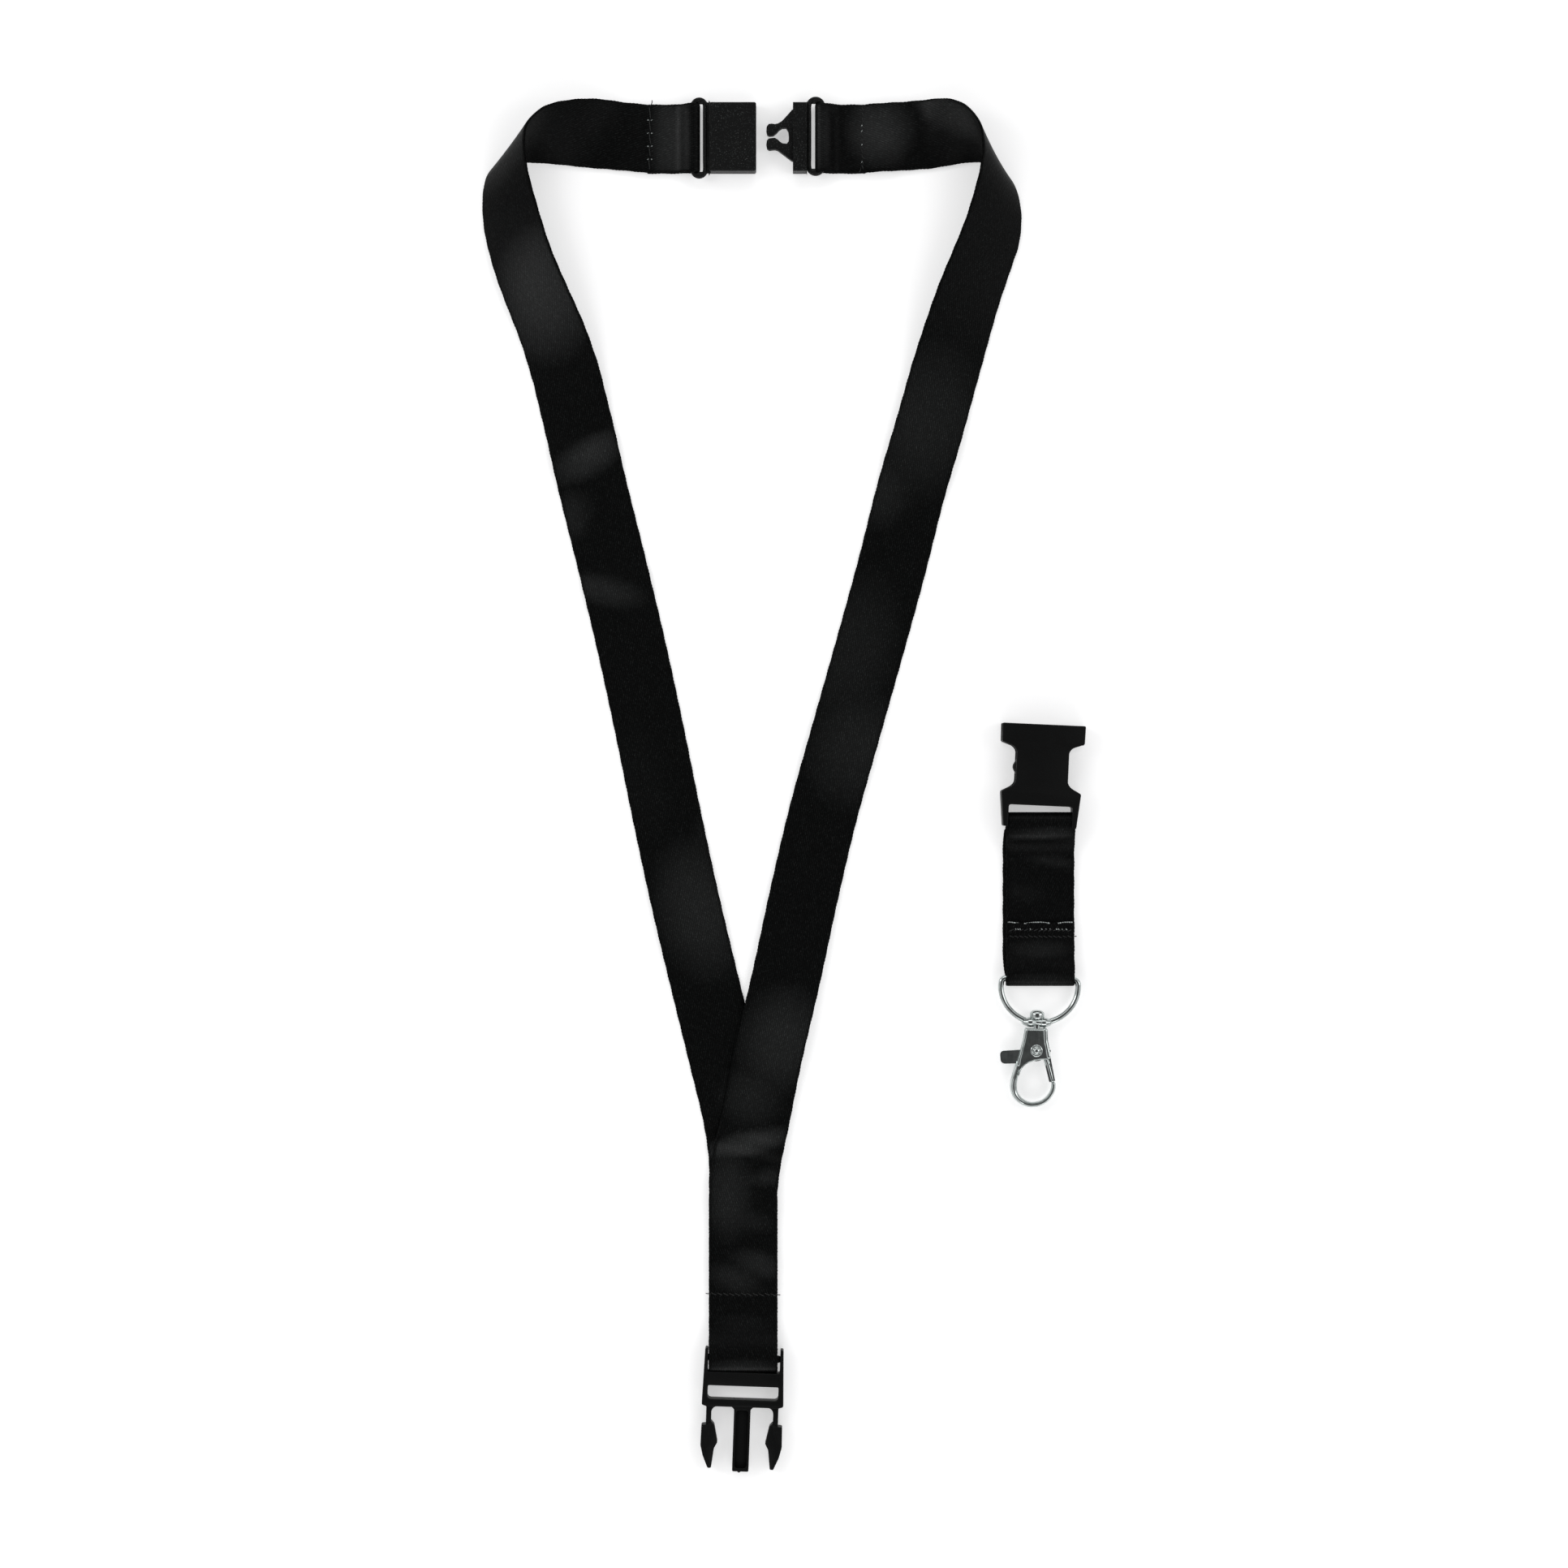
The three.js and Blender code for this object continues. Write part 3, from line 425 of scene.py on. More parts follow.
# Painted sheen, highlights set by position where the satin's colour and shine are raised: x, y,
# half width, half height, turn in degrees, strength.
PAINTED_SHEEN_PATCHES = [
    (-33.0, 188.0, 4.7, 14.2, 0, 0.75), (-79.4, 183.3, 4.7, 14.2, -40, 0.25),
    (-69.7, 141.9, 11.4, 15.6, 10, 0.75), (-56.9, 95.3, 10.4, 4.7, 30, 0.8),
    (-61.4, 78.5, 4.3, 6.6, 0, 0.45), (-52.4, 56.3, 10.4, 3.8, -12, 0.6),
    (-41.5, 1.2, 9.5, 21.3, 12, 0.12), (-24.5, -36.7, 10.9, 17.5, 14, 0.6),
    (-19.3, -20.1, 5.7, 10.9, 14, 0.35), (28.0, 190.4, 8.1, 8.5, 0, 0.9),
    (47.2, 196.1, 10.4, 4.7, -38, 0.7), (10.5, 189.0, 2.4, 10.4, 0, 0.4),
    (40.6, 105.3, 14.2, 19.9, -14, 0.45), (29.0, 85.6, 7.1, 10.0, -14, 0.45),
    (20.0, 39.0, 11.8, 21.3, -14, 0.35), (20.7, 10.6, 12.3, 15.6, -14, 0.45),
    (-0.8, -74.5, 10.4, 13.3, -14, 0.65), (-9.6, -91.1, 8.1, 8.1, -10, 0.45),
    (-10.8, -104.8, 11.4, 3.1, 14, 1), (-16.0, -119.4, 5.7, 11.8, 0, 0.6),
    (-4.8, -114.7, 4.7, 2.4, 10, 0.5), (-12.7, -126.5, 9.5, 3.3, -15, 0.35),
    (-7.2, -139.8, 7.1, 3.3, -20, 0.6), (-14.3, -144.3, 7.1, 3.8, -20, 0.45),
    (-11.9, -157.3, 8.5, 2.8, 0, 0.2), (-11.9, -169.8, 9.5, 2.4, 0, 0.45),
    (75.6, -14.4, 9.0, 1.7, 4, 0.4), (78.4, -22.5, 6.6, 1.7, -8, 0.35),
    (70.1, -31.9, 5.7, 2.8, -10, 0.2), (74.6, -48.0, 8.5, 2.4, 0, 0.4),
    (74.6, -56.8, 9.5, 1.7, 0, 0.3),
]


def painted_sheen_at(points, across):
    """0 to 1 for every point: how much painted sheen the satin gets there, none at its edges."""
    total = np.full(len(points), LEAST_PAINTED_SHEEN)
    for x, y, a, b, turn, strength in PAINTED_SHEEN_PATCHES:
        dx, dy = points[:, 0] - x, points[:, 1] - y
        c, s = math.cos(math.radians(turn)), math.sin(math.radians(turn))
        along = (dx * c + dy * s) / (a * PATCH_SPREAD)
        aside = (dy * c - dx * s) / (b * PATCH_SPREAD)
        fade = np.clip(1 - along**2 - aside**2, 0, 1)
        total = np.maximum(total, strength * fade**PATCH_FALLOFF)
    edge = np.clip((WEB_WIDTH / 2 - SELVEDGE - np.abs(across)) / SELVEDGE_FADE, 0, 1)
    return total * edge


def smooth_through(rows, per_span=14):
    """Rows on a smooth curve through every given row."""
    p = np.array(rows, float)
    p = np.vstack([2 * p[0] - p[1], p, 2 * p[-1] - p[-2]])
    steps = np.linalg.norm(np.diff(p, axis=0), axis=1) ** 0.5
    knots = np.concatenate([[0], np.cumsum(steps)])
    out = []
    for i in range(1, len(p) - 2):
        k = knots[i - 1 : i + 3]
        for t in np.linspace(k[1], k[2], per_span, endpoint=False):
            a = [
                ((k[n + 1] - t) * p[i - 1 + n] + (t - k[n]) * p[i + n]) / (k[n + 1] - k[n])
                for n in range(3)
            ]
            b = [
                ((k[n + 2] - t) * a[n] + (t - k[n]) * a[n + 1]) / (k[n + 2] - k[n])
                for n in range(2)
            ]
            out.append(((k[2] - t) * b[0] + (t - k[1]) * b[1]) / (k[2] - k[1]))
    out.append(p[-2])
    return np.array(out)


def corner_rows(stations, side=1):
    """Centre and across direction of a corner given by its two edges."""
    edges = smooth_through(stations)
    a, b = edges[:, :3], edges[:, 3:]
    return np.hstack([(a + b) / 2, (a - b) * side])


def leg_rows(points):
    """Centre and across direction of a leg that runs downwards."""
    centre = smooth_through(points)
    ahead = np.gradient(centre, axis=0)
    across = np.stack([-ahead[:, 1], ahead[:, 0], 0 * ahead[:, 0]], axis=1)
    return np.hstack([centre, across])


def s_curve(x0, z0, x1, z1, count=16):
    """A strip's change of height, level at both ends."""
    t = np.linspace(0, 1, count)[:, None]
    mid = (x0 + x1) / 2
    p = [np.array(q, float) for q in ([x0, z0], [mid, z0], [mid, z1], [x1, z1])]
    return (
        (1 - t) ** 3 * p[0] + 3 * (1 - t) ** 2 * t * p[1]
        + 3 * (1 - t) * t**2 * p[2] + t**3 * p[3]
    )


def arc(x, z, radius, start, end, count=18):
    """Points round a bar, from a start to an end in degrees."""
    angle = np.radians(np.linspace(start, end, count))
    return np.stack([x + radius * np.cos(angle), z + radius * np.sin(angle)], axis=1)


def fold_path(length, bar_z, eye, slack, ramp):
    """Side view of a strip folded round a bar at x = 0, from its lower end to its upper one."""
    return np.vstack([
        [[length, LOW]],
        s_curve(ramp, LOW, 0, bar_z - eye),
        arc(-slack, bar_z, eye, 270, 90),
        s_curve(0, bar_z + eye, ramp, HIGH),
        [[length, HIGH]],
    ])


def folded_rows(path, bar, away, across):
    """A side view placed at a bar; away is where its first axis points in plan."""
    path = np.array(path)
    centre = np.zeros((len(path), 3))
    centre[:, 0] = bar[0] + away[0] * path[:, 0]
    centre[:, 1] = bar[1] + away[1] * path[:, 0]
    centre[:, 2] = path[:, 1]
    return np.hstack([centre, np.tile(np.array(across, float), (len(path), 1))])


STEP = 0.5  # between the rows of a strap's mesh
SCALLOP_PERIOD = 5.8  # slow waves of the selvedge
SCALLOP_DEPTH = 0.05
TOOTH_PERIOD = 1.1  # quick teeth of the selvedge, where the crossing threads turn
TOOTH_DEPTH = 0.05
SHARP_CUT = 60  # degrees


def ring_faces(rings, sides, closed=False):
    """Faces between neighbouring rings of points; closed joins the last ring to the first."""
    faces = []
    for i in range(rings if closed else rings - 1):
        a, b = i * sides, ((i + 1) % rings) * sides
        for k in range(sides):
            q = (k + 1) % sides
            faces.append((a + k, a + q, b + q, b + k))
    return faces


def section(grow):
    """Outline of the webbing's cut end: (across, thickness) pairs, with a rolled selvedge."""
    half, t = WEB_WIDTH / 2 + grow, WEB_THICK / 2
    flat = [9.4, 9.0, 8.5, 6, 3, 0, -3, -6, -8.5, -9.0, -9.4]
    upper = [(x, t) for x in flat]
    lower = [(-x, -t) for x in flat]
    return (
        upper + [(-half + 0.2, t * 0.72), (-half, 0), (-half + 0.2, -t * 0.72)]
        + lower + [(half - 0.2, -t * 0.72), (half, 0), (half - 0.2, t * 0.72)]
    )


# Slow rises of the cloth: x, y, reach along the strap, height.
RISES = [
    (-69, 150, 24, 1.3), (-56, 96, 11, 0.9), (-52, 57, 9, 0.7), (-22, -36, 26, 0.9),
    (29, 190, 8, 0.7), (38, 100, 22, 1.1), (25, 63, 9, 0.6), (17, 10, 24, 0.8),
    (-1, -74, 20, 0.8), (-10, -105, 5, 0.9), (-12, -121, 9, 0.5), (-12, -140, 6, 0.35),
    (74.6, -15, 2.2, 0.3), (74.6, -23.5, 3, 0.3),
]


def strap(name, rows, start=0.0):
    """Webbing along rows of centre and across direction; start is its weave's first station."""
    rows = np.array(rows)
    steps = np.linalg.norm(np.diff(rows[:, :3], axis=0), axis=1)
    rows = rows[np.concatenate([[True], steps > 1e-6])]
    along = np.concatenate([[0], np.cumsum(np.linalg.norm(np.diff(rows[:, :3], axis=0), axis=1))])
    rows[:, 3:] /= np.linalg.norm(rows[:, 3:], axis=1)[:, None]
    length = along[-1]
    count = int(length / STEP) + 1
    s = np.linspace(0, length, count)
    even = np.stack([np.interp(s, along, rows[:, k]) for k in range(6)], axis=1)
    centre, across = even[:, :3], even[:, 3:]
    tangent = np.gradient(centre, axis=0)
    tangent /= np.linalg.norm(tangent, axis=1)[:, None]
    normal = np.cross(tangent, across)
    normal /= np.linalg.norm(normal, axis=1)[:, None]
    rise = np.zeros(count)
    for x, y, reach, height in RISES:
        away = np.hypot(centre[:, 0] - x, centre[:, 1] - y) / reach
        rise += height * np.cos(np.clip(away, 0, 1) * math.pi / 2) ** 2
    verts, places = [], []
    ring = len(section(0))
    for i in range(count):
        grow = SCALLOP_DEPTH * math.sin(2 * math.pi * s[i] / SCALLOP_PERIOD)
        grow += TOOTH_DEPTH * math.sin(2 * math.pi * s[i] / TOOTH_PERIOD)
        flip = 1 if normal[i][2] >= 0 else -1
        upper = centre[i][2] > LOW - 0.01
        for x, t in section(grow):
            lean = rise[i] * (1 + 0.25 * math.sin(x * 0.35 + s[i] * 0.11)) if upper else 0
            verts.append(centre[i] + across[i] * x + normal[i] * (t + flip * lean))
            places.append((x, start + s[i], t))
    faces = ring_faces(count, ring)
    faces.append(tuple(range(ring)))
    faces.append(tuple((count - 1) * ring + k for k in reversed(range(ring))))
    verts, places = np.array(verts), np.array(places, np.float32)
    mesh = bpy.data.meshes.new(name)
    mesh.from_pydata((verts * MM).tolist(), [], faces)
    mesh.attributes.new("strap_mm", "FLOAT_VECTOR", "POINT").data.foreach_set(
        "vector", places.ravel()
    )
    # The painted sheen: highlights set by position, stored on the mesh for the satin's colour and
    # shine.
    mesh.attributes.new("sheen", "FLOAT", "POINT").data.foreach_set(
        "value", painted_sheen_at(verts, places[:, 0]).astype(np.float32)
    )
    work = bmesh.new()
    work.from_mesh(mesh)
    bmesh.ops.recalc_face_normals(work, faces=work.faces)
    work.to_mesh(mesh)
    work.free()
    mesh.shade_smooth()
    mesh.set_sharp_from_angle(angle=math.radians(SHARP_CUT))
    mesh.materials.append(SATIN)
    piece = bpy.data.objects.new(name, mesh)
    scene.collection.objects.link(piece)
    return piece, length


# ---- neck strap

socket_bar = (-26.3, TOP_Y, RING_Z)
clip_bar = (10.9, TOP_Y, RING_Z)
left_fold = fold_path(LEFT_FLAP, RING_Z, RING_EYE, 0, FLAP_RAMP)
right_fold = fold_path(RIGHT_FLAP, RING_Z, RING_EYE, 0, FLAP_RAMP)
tail_length = TAIL_TOP_Y - MALE_BAR[1] - 1
tail_fold = fold_path(tail_length, MALE_BAR[2], MALE_EYE, MALE_SLACK, TAIL_RAMP)
tail_bar = (TAIL_X, MALE_BAR[1])

left_rows = np.vstack([
    folded_rows(left_fold, socket_bar, (-1, 0), (0, 1, 0)),
    corner_rows(LEFT_CORNER),
    leg_rows(LEFT_LEG),
    [[TAIL_X, TAIL_TOP_Y - 1, LOW, 1, 0, 0]],
])
neck_left, left_length = strap("neck_strip_left", left_rows)
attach(neck_left, "neck_strap")
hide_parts("webbing_left_end", "webbing_left_corner", "webbing_left_leg")

up_the_leg = leg_rows(RIGHT_LEG)[::-1]
right_rows = np.vstack([
    folded_rows(tail_fold, tail_bar, (0, 1), (1, 0, 0)),
    up_the_leg,
    corner_rows(RIGHT_CORNER, -1)[::-1],
    folded_rows(right_fold, clip_bar, (1, 0), (0, -1, 0))[::-1],
])
neck_right, right_length = strap("neck_strip_right", right_rows, left_length)
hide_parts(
    "webbing_tail_loop", "webbing_right_leg", "webbing_right_corner",
    "webbing_right_end",
)
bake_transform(neck_right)

# ---- clip strap

CLIP_X = 74.6
LAP_END = 29.5  # from the buckle's bar to the cut end of the outer layer
HIDDEN_END = 38  # the same, to the other end, under the lap
OUTER_Z = 2.5  # middle of the outer layer
UNDER_Z = 0.75  # middle of the layer on the table
INNER_Z = (1.75, 1.62)  # middle of the layer between them, near the buckle and at its end
RING_RAMP = 10  # how far from a bar the layers start to part
BUCKLE_RAMP = 11
UNDER_START = 30  # from the buckle's bar to where the layer from the D-ring is flat
UNDER_SHIFT = 0.8  # how far the layer on the table shows at the left
UNDER_EASE = 0.12  # share of the length over which that shift grows
UNDER_TOP = 1.3  # rows below this belong to the layer on the table
FEMALE_EYE = 1.95 + WEB_THICK / 2
RING_STRAP_EYE = 1.35 + WEB_THICK / 2


def clip_path():
    """Side view from the lap's cut end, down round the D-ring's bar, back underneath, round the
    buckle's bar and down again to its hidden end below the lap."""
    far = FEMALE_BAR[1] - RING_BAR[1]
    return np.vstack([
        [[LAP_END, OUTER_Z]],
        s_curve(far - RING_RAMP, OUTER_Z, far, RING_BAR[2] + RING_STRAP_EYE),
        arc(far, RING_BAR[2], RING_STRAP_EYE, 90, -90),
        s_curve(far, RING_BAR[2] - RING_STRAP_EYE, UNDER_START, UNDER_Z),
        s_curve(BUCKLE_RAMP, UNDER_Z, 0, FEMALE_BAR[2] - FEMALE_EYE),
        arc(0, FEMALE_BAR[2], FEMALE_EYE, 270, 90),
        s_curve(0, FEMALE_BAR[2] + FEMALE_EYE, BUCKLE_RAMP, INNER_Z[0]),
        [[HIDDEN_END, INNER_Z[1]]],
    ])


clip_rows = folded_rows(clip_path(), (CLIP_X, FEMALE_BAR[1]), (0, -1), (1, 0, 0))
under = (FEMALE_BAR[1] - clip_rows[:, 1]) / (FEMALE_BAR[1] - RING_BAR[1])
aside = np.clip(np.minimum(under, 1 - under) / UNDER_EASE, 0, 1)
clip_rows[:, 0] -= UNDER_SHIFT * aside * (clip_rows[:, 2] < UNDER_TOP)
clip_strip, clip_length = strap("clip_strip", clip_rows)
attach(clip_strip, "clip_strap")
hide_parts("clip_webbing")

# ---- meshes, in millimetres until they are placed

EASED_OVER = 28  # degrees between faces whose edge is eased


def plate_mesh(loops, low, high, edge):
    """A flat plate with rounded edges; later loops are holes in the first."""
    curve = bpy.data.curves.new("outline", "CURVE")
    curve.dimensions = "2D"
    curve.fill_mode = "BOTH"
    curve.extrude = (high - low) / 2 - edge
    curve.bevel_depth = edge
    curve.bevel_resolution = 2
    curve.offset = -edge
    for loop in loops:
        spline = curve.splines.new("POLY")
        spline.points.add(len(loop) - 1)
        for point, (x, y) in zip(spline.points, loop):
            point.co = (x, y, 0, 1)
        spline.use_cyclic_u = True
    holder = bpy.data.objects.new("outline", curve)
    mesh = bpy.data.meshes.new_from_object(holder)
    mesh.transform(Matrix.Translation((0, 0, (low + high) / 2)))
    bpy.data.objects.remove(holder)
    bpy.data.curves.remove(curve)
    return mesh


def rounded(points, steps=6):
    """A closed outline whose corners (x, y, radius) are eased by that radius."""
    out = []
    count = len(points)
    for i, corner in enumerate(points):
        here = Vector(corner[:2])
        radius = corner[2] if len(corner) > 2 else 0
        if not radius:
            out.append(tuple(here))
            continue
        before = Vector(points[i - 1][:2]) - here
        after = Vector(points[(i + 1) % count][:2]) - here
        reach = min(radius, before.length * 0.49, after.length * 0.49)
        a, b = here + before.normalized() * reach, here + after.normalized() * reach
        for k in range(steps + 1):
            t = k / steps
            out.append(tuple(a * (1 - t) ** 2 + here * 2 * t * (1 - t) + b * t**2))
    return out


def tube_mesh(path, widths, heights, closed=False, sides=14):
    """A bar swept along a level path of (x, y, z), as wide and as high as given at each point."""
    data = np.hstack([
        np.array(path, float),
        np.broadcast_to(np.array(widths, float).reshape(-1, 1), (len(path), 1)),
        np.broadcast_to(np.array(heights, float).reshape(-1, 1), (len(path), 1)),
    ])
    if closed:
        lap, per_span = 2, 5  # points repeated at each end, so that the curve closes smoothly
        data = smooth_through(np.vstack([data[-lap:], data, data[:lap]]), per_span)
        data = data[lap * per_span : -lap * per_span - 1]
    elif len(data) > 2:
        data = smooth_through(data, 6)
    if closed:
        ahead = np.roll(data[:, :2], -1, 0) - np.roll(data[:, :2], 1, 0)
    else:
        ahead = np.gradient(data[:, :2], axis=0)
    ahead /= np.linalg.norm(ahead, axis=1)[:, None]
    rows = [(d, t, 1.0) for d, t in zip(data, ahead)]
    if not closed:
        for end, sign in ((0, -1), (-1, 1)):
            d, t = data[end], ahead[end]
            cap = []
            for step in (0.5, 0.87, 0.995):
                moved = d.copy()
                moved[:2] += sign * t * d[3] * step
                cap.append((moved, t, math.sqrt(max(0.0, 1 - step * step))))
            rows = cap[::-1] + rows if end == 0 else rows + cap
    verts = []
    for d, t, scale in rows:
        for k in range(sides):
            angle = 2 * math.pi * k / sides
            w = d[3] * scale * math.cos(angle)
            verts.append((d[0] - t[1] * w, d[1] + t[0] * w, d[2] + d[4] * scale * math.sin(angle)))
    faces = ring_faces(len(rows), sides, closed)
    if not closed:
        faces.append(tuple(range(sides)))
        faces.append(tuple((len(rows) - 1) * sides + k for k in reversed(range(sides))))
    mesh = bpy.data.meshes.new("tube")
    mesh.from_pydata(verts, [], faces)
    return mesh


def lathe_mesh(profile, axis="Z", steps=28):
    """A turned part from (radius, height) pairs, its ends on the axis."""
    verts = []
    for radius, height in profile:
        for k in range(steps):
            angle = 2 * math.pi * k / steps
            x, y = radius * math.cos(angle), radius * math.sin(angle)
            verts.append((x, y, height) if axis == "Z" else (x, height, -y))
    mesh = bpy.data.meshes.new("turned")
    mesh.from_pydata(verts, [], ring_faces(len(profile), steps))
    return mesh


def cad_part(node, keep=None):
    """A CAD node's mesh in millimetres; keep = (point, direction) cuts away the rest."""
    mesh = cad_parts[node].data.copy()
    work = bmesh.new()
    work.from_mesh(mesh)
    bmesh.ops.scale(work, vec=(1 / MM,) * 3, verts=work.verts)
    bmesh.ops.remove_doubles(work, verts=work.verts, dist=0.002)
    if keep:
        cut = bmesh.ops.bisect_plane(
            work, geom=work.verts[:] + work.edges[:] + work.faces[:],
            plane_co=keep[0], plane_no=keep[1], clear_inner=True,
        )
        edges = [e for e in cut["geom_cut"] if isinstance(e, bmesh.types.BMEdge)]
        bmesh.ops.holes_fill(work, edges=edges, sides=0)
    bmesh.ops.dissolve_limit(
        work, angle_limit=math.radians(1), verts=work.verts, edges=work.edges
    )
    work.to_mesh(mesh)
    work.free()
    return mesh


def hard(name, meshes, material, slot, place=None, bevel=0.0, sharp=38):
    """One moulded or cast piece joined from meshes in millimetres, placed by a matrix."""
    work = bmesh.new()
    for mesh in meshes:
        work.from_mesh(mesh)
    bmesh.ops.remove_doubles(work, verts=work.verts, dist=0.0005)
    bmesh.ops.recalc_face_normals(work, faces=work.faces)
    mesh = bpy.data.meshes.new(name)
    work.to_mesh(mesh)
    work.free()
    mesh.transform((Matrix.Scale(MM, 4)) @ (place or Matrix.Identity(4)))
    mesh.materials.clear()
    mesh.materials.append(material)
    mesh.shade_smooth()
    mesh.set_sharp_from_angle(angle=math.radians(sharp))
    piece = bpy.data.objects.new(name, mesh)
    scene.collection.objects.link(piece)
    if bevel:
        eased = piece.modifiers.new("eased", "BEVEL")
        eased.width = bevel * MM
        eased.segments = 2
        eased.limit_method = "ANGLE"
        eased.angle_limit = math.radians(EASED_OVER)
    return piece


def tilted(origin, degrees):
    """A place on the table, turned about the vertical."""
    return Matrix.Translation(origin) @ Matrix.Rotation(math.radians(degrees), 4, "Z")


# ---- stitching


def stitch_mesh(points, radius=0.16):
    """One thread along points that rise and fall."""
    p = np.array(points, float)
    ahead = np.gradient(p, axis=0)
    ahead /= np.linalg.norm(ahead, axis=1)[:, None]
    verts, sides = [], 6
    for place, t in zip(p, ahead):
        u = np.cross(t, (0, 0, 1))
        u /= max(np.linalg.norm(u), 1e-6)
        v = np.cross(t, u)
        for k in range(sides):
            angle = 2 * math.pi * k / sides
            verts.append(place + radius * (math.cos(angle) * u + math.sin(angle) * v))
    faces = ring_faces(len(p), sides)
    faces.append(tuple(reversed(range(sides))))
    faces.append(tuple((len(p) - 1) * sides + k for k in range(sides)))
    mesh = bpy.data.meshes.new("stitch")
    mesh.from_pydata([tuple(v) for v in verts], [], faces)
    return mesh


SEED = 7
rng = np.random.default_rng(SEED)


def stitch_row(start, end, count, top, slant=0.25, rise=0.14, fill=0.78):
    """Stitches from start to end (x, y); each dives into the cloth at its ends."""
    start, end = np.array(start, float), np.array(end, float)
    step = (end - start) / count
    side = np.array([-step[1], step[0]])
    out = []
    for i in range(count):
        a = start + step * (i + (1 - fill) / 2)
        wobble = rng.uniform(-0.06, 0.06)
        run = []
        for t in np.linspace(0, 1, 7):
            xy = a + step * fill * t + side * ((t - 0.5) * slant + wobble)
            run.append((*xy, top - 0.1 + (rise + 0.1) * math.sin(math.pi * t)))
        out.append(stitch_mesh(run))
    return out


def loose_end(x, y, z, dx, dy, curl):
    """A trimmed thread end."""
    return stitch_mesh([
        (x + dx * t + curl * math.sin(3 * t), y + dy * t, z + 0.3 * math.sin(2.5 * t))
        for t in np.linspace(0, 1, 7)
    ], 0.13)


TOP = HIGH + WEB_THICK / 2
CLIP_TOP = OUTER_Z + WEB_THICK / 2
# Short stitches in the painted-glint thread, painted highlights on the left seam.
left_glints = []
for y in (193.4, 189.6, 185.8, 182.0):
    for side in (-0.55, 0.55):
        left_glints += stitch_row((-39.3 + side, y), (-38.9 + side, y + 0.1), 1, TOP, 0, 0.2)
left_seam = stitch_row((-39.2, 179), (-39.2, 197.5), 5, TOP - 0.04, 0.1, 0.12, 0.9)
left_seam += [loose_end(-38.9, 197.6, TOP, 0.4, 1.6, 0.2)]
right_seam = stitch_row((22.9, 179), (22.9, 197.4), 12, TOP, 0.3)
# Short stitches in the painted-glint thread, painted highlights on the right seam.
right_glints = [
    mesh for y in (181, 186, 190, 191.6) for mesh in
    stitch_row((22.6, y), (22.8, y + 0.5), 1, TOP, 0, 0.16)
]
right_seam += [loose_end(22.4, 179.6, TOP, -0.6, -1.3, 0.2)]
tail_seam = stitch_row((-21.3, -148.6), (-2.3, -148.8), 11, TOP, -0.35)
tail_seam += [
    loose_end(-21.4, -148.6, TOP, -1.4, 0.2, 0.1), loose_end(-2.4, -148.8, TOP, 1.3, -0.1, 0.1)
]
clip_upper = stitch_row((65.6, -42.5), (83.8, -42.6), 13, CLIP_TOP, 0.35, 0.2)
# Short stitches in the painted-glint thread, painted highlights along the clip strap's upper seam.
clip_glints = [
    mesh for x in (67.4, 68, 68.6, 71.6, 74.9, 76.1, 77.4, 79.2, 79.8, 80.9, 82.1) for mesh in
    stitch_row((x, -42.1), (x + 0.3, -42.5), 1, CLIP_TOP, 0, 0.12)
]
clip_lower = stitch_row((65.6, -44.4), (83.8, -44.5), 13, CLIP_TOP, -0.3, 0.1)
clip_lower += [loose_end(84.2, -44.4, CLIP_TOP, 0.9, 0.1, 0.1)]
for name, meshes, body, thread in (
    ("left", left_seam, "neck_strap", THREAD), ("left_glints", left_glints, "neck_strap", PAINTED_GLINT),
    ("right", right_seam, "right_strap_end", THREAD), ("tail", tail_seam, "neck_strap", THREAD),
    ("right_glints", right_glints, "right_strap_end", PAINTED_GLINT),
    ("clip_upper", clip_upper, "clip_strap", THREAD),
    ("clip_glints", clip_glints, "clip_strap", PAINTED_GLINT),
    ("clip_lower", clip_lower, "clip_strap", THREAD),
):
    piece = hard(f"{name}_stitches", meshes, thread, "thread", sharp=SHARP_CUT)
    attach(piece, body)
    if name.startswith("clip_") and thread is THREAD:
        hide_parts(f"clip_seam_thread_{name[5:]}")
    elif thread is THREAD:
        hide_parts(f"{name}_seam_thread")

# A bead along the lap's sealed cut end; its light grey colour is a painted highlight.
cut_end = [
    (x, -40.45 + 0.18 * math.sin(0.7 * x), CLIP_TOP - 0.25 + 0.12 * math.sin(1.9 * x))
    for x in np.linspace(65.2, 84.0, 40)
]
sealed = hard("sealed_end", [stitch_mesh(cut_end, 0.2)], SEALED_HIGHLIGHT, "satin", sharp=SHARP_CUT)
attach(sealed, "clip_strap")

# ---- breakaway buckle

GRAINY = (GRAINED, "plastic")
SMOOTH = (PLASTIC, "plastic")
METAL = (NICKEL, "nickel")
BOX_X = -21.9  # the socket's box is everything to the right of this
BLOCK_X = (2.6, 6.7)  # the prong half's block lies between these


def stadium(x0, x1, y0, y1):
    """The middle line of a breakaway ring, which has round ends."""
    radius, mid = (x1 - x0) / 2, (x0 + x1) / 2
    top = [(mid + radius * math.cos(a), y1 - radius + radius * math.sin(a), RING_Z)
           for a in np.linspace(0, math.pi, 7)]
    low = [(mid - radius * math.cos(a), y0 + radius - radius * math.sin(a), RING_Z)
           for a in np.linspace(0, math.pi, 7)]
    straight = np.linspace(y1 - radius, y0 + radius, 7)[1:-1]
    left = [(x0, y, RING_Z) for y in straight]
    right = [(x1, y, RING_Z) for y in straight[::-1]]
    return top + left + low + right


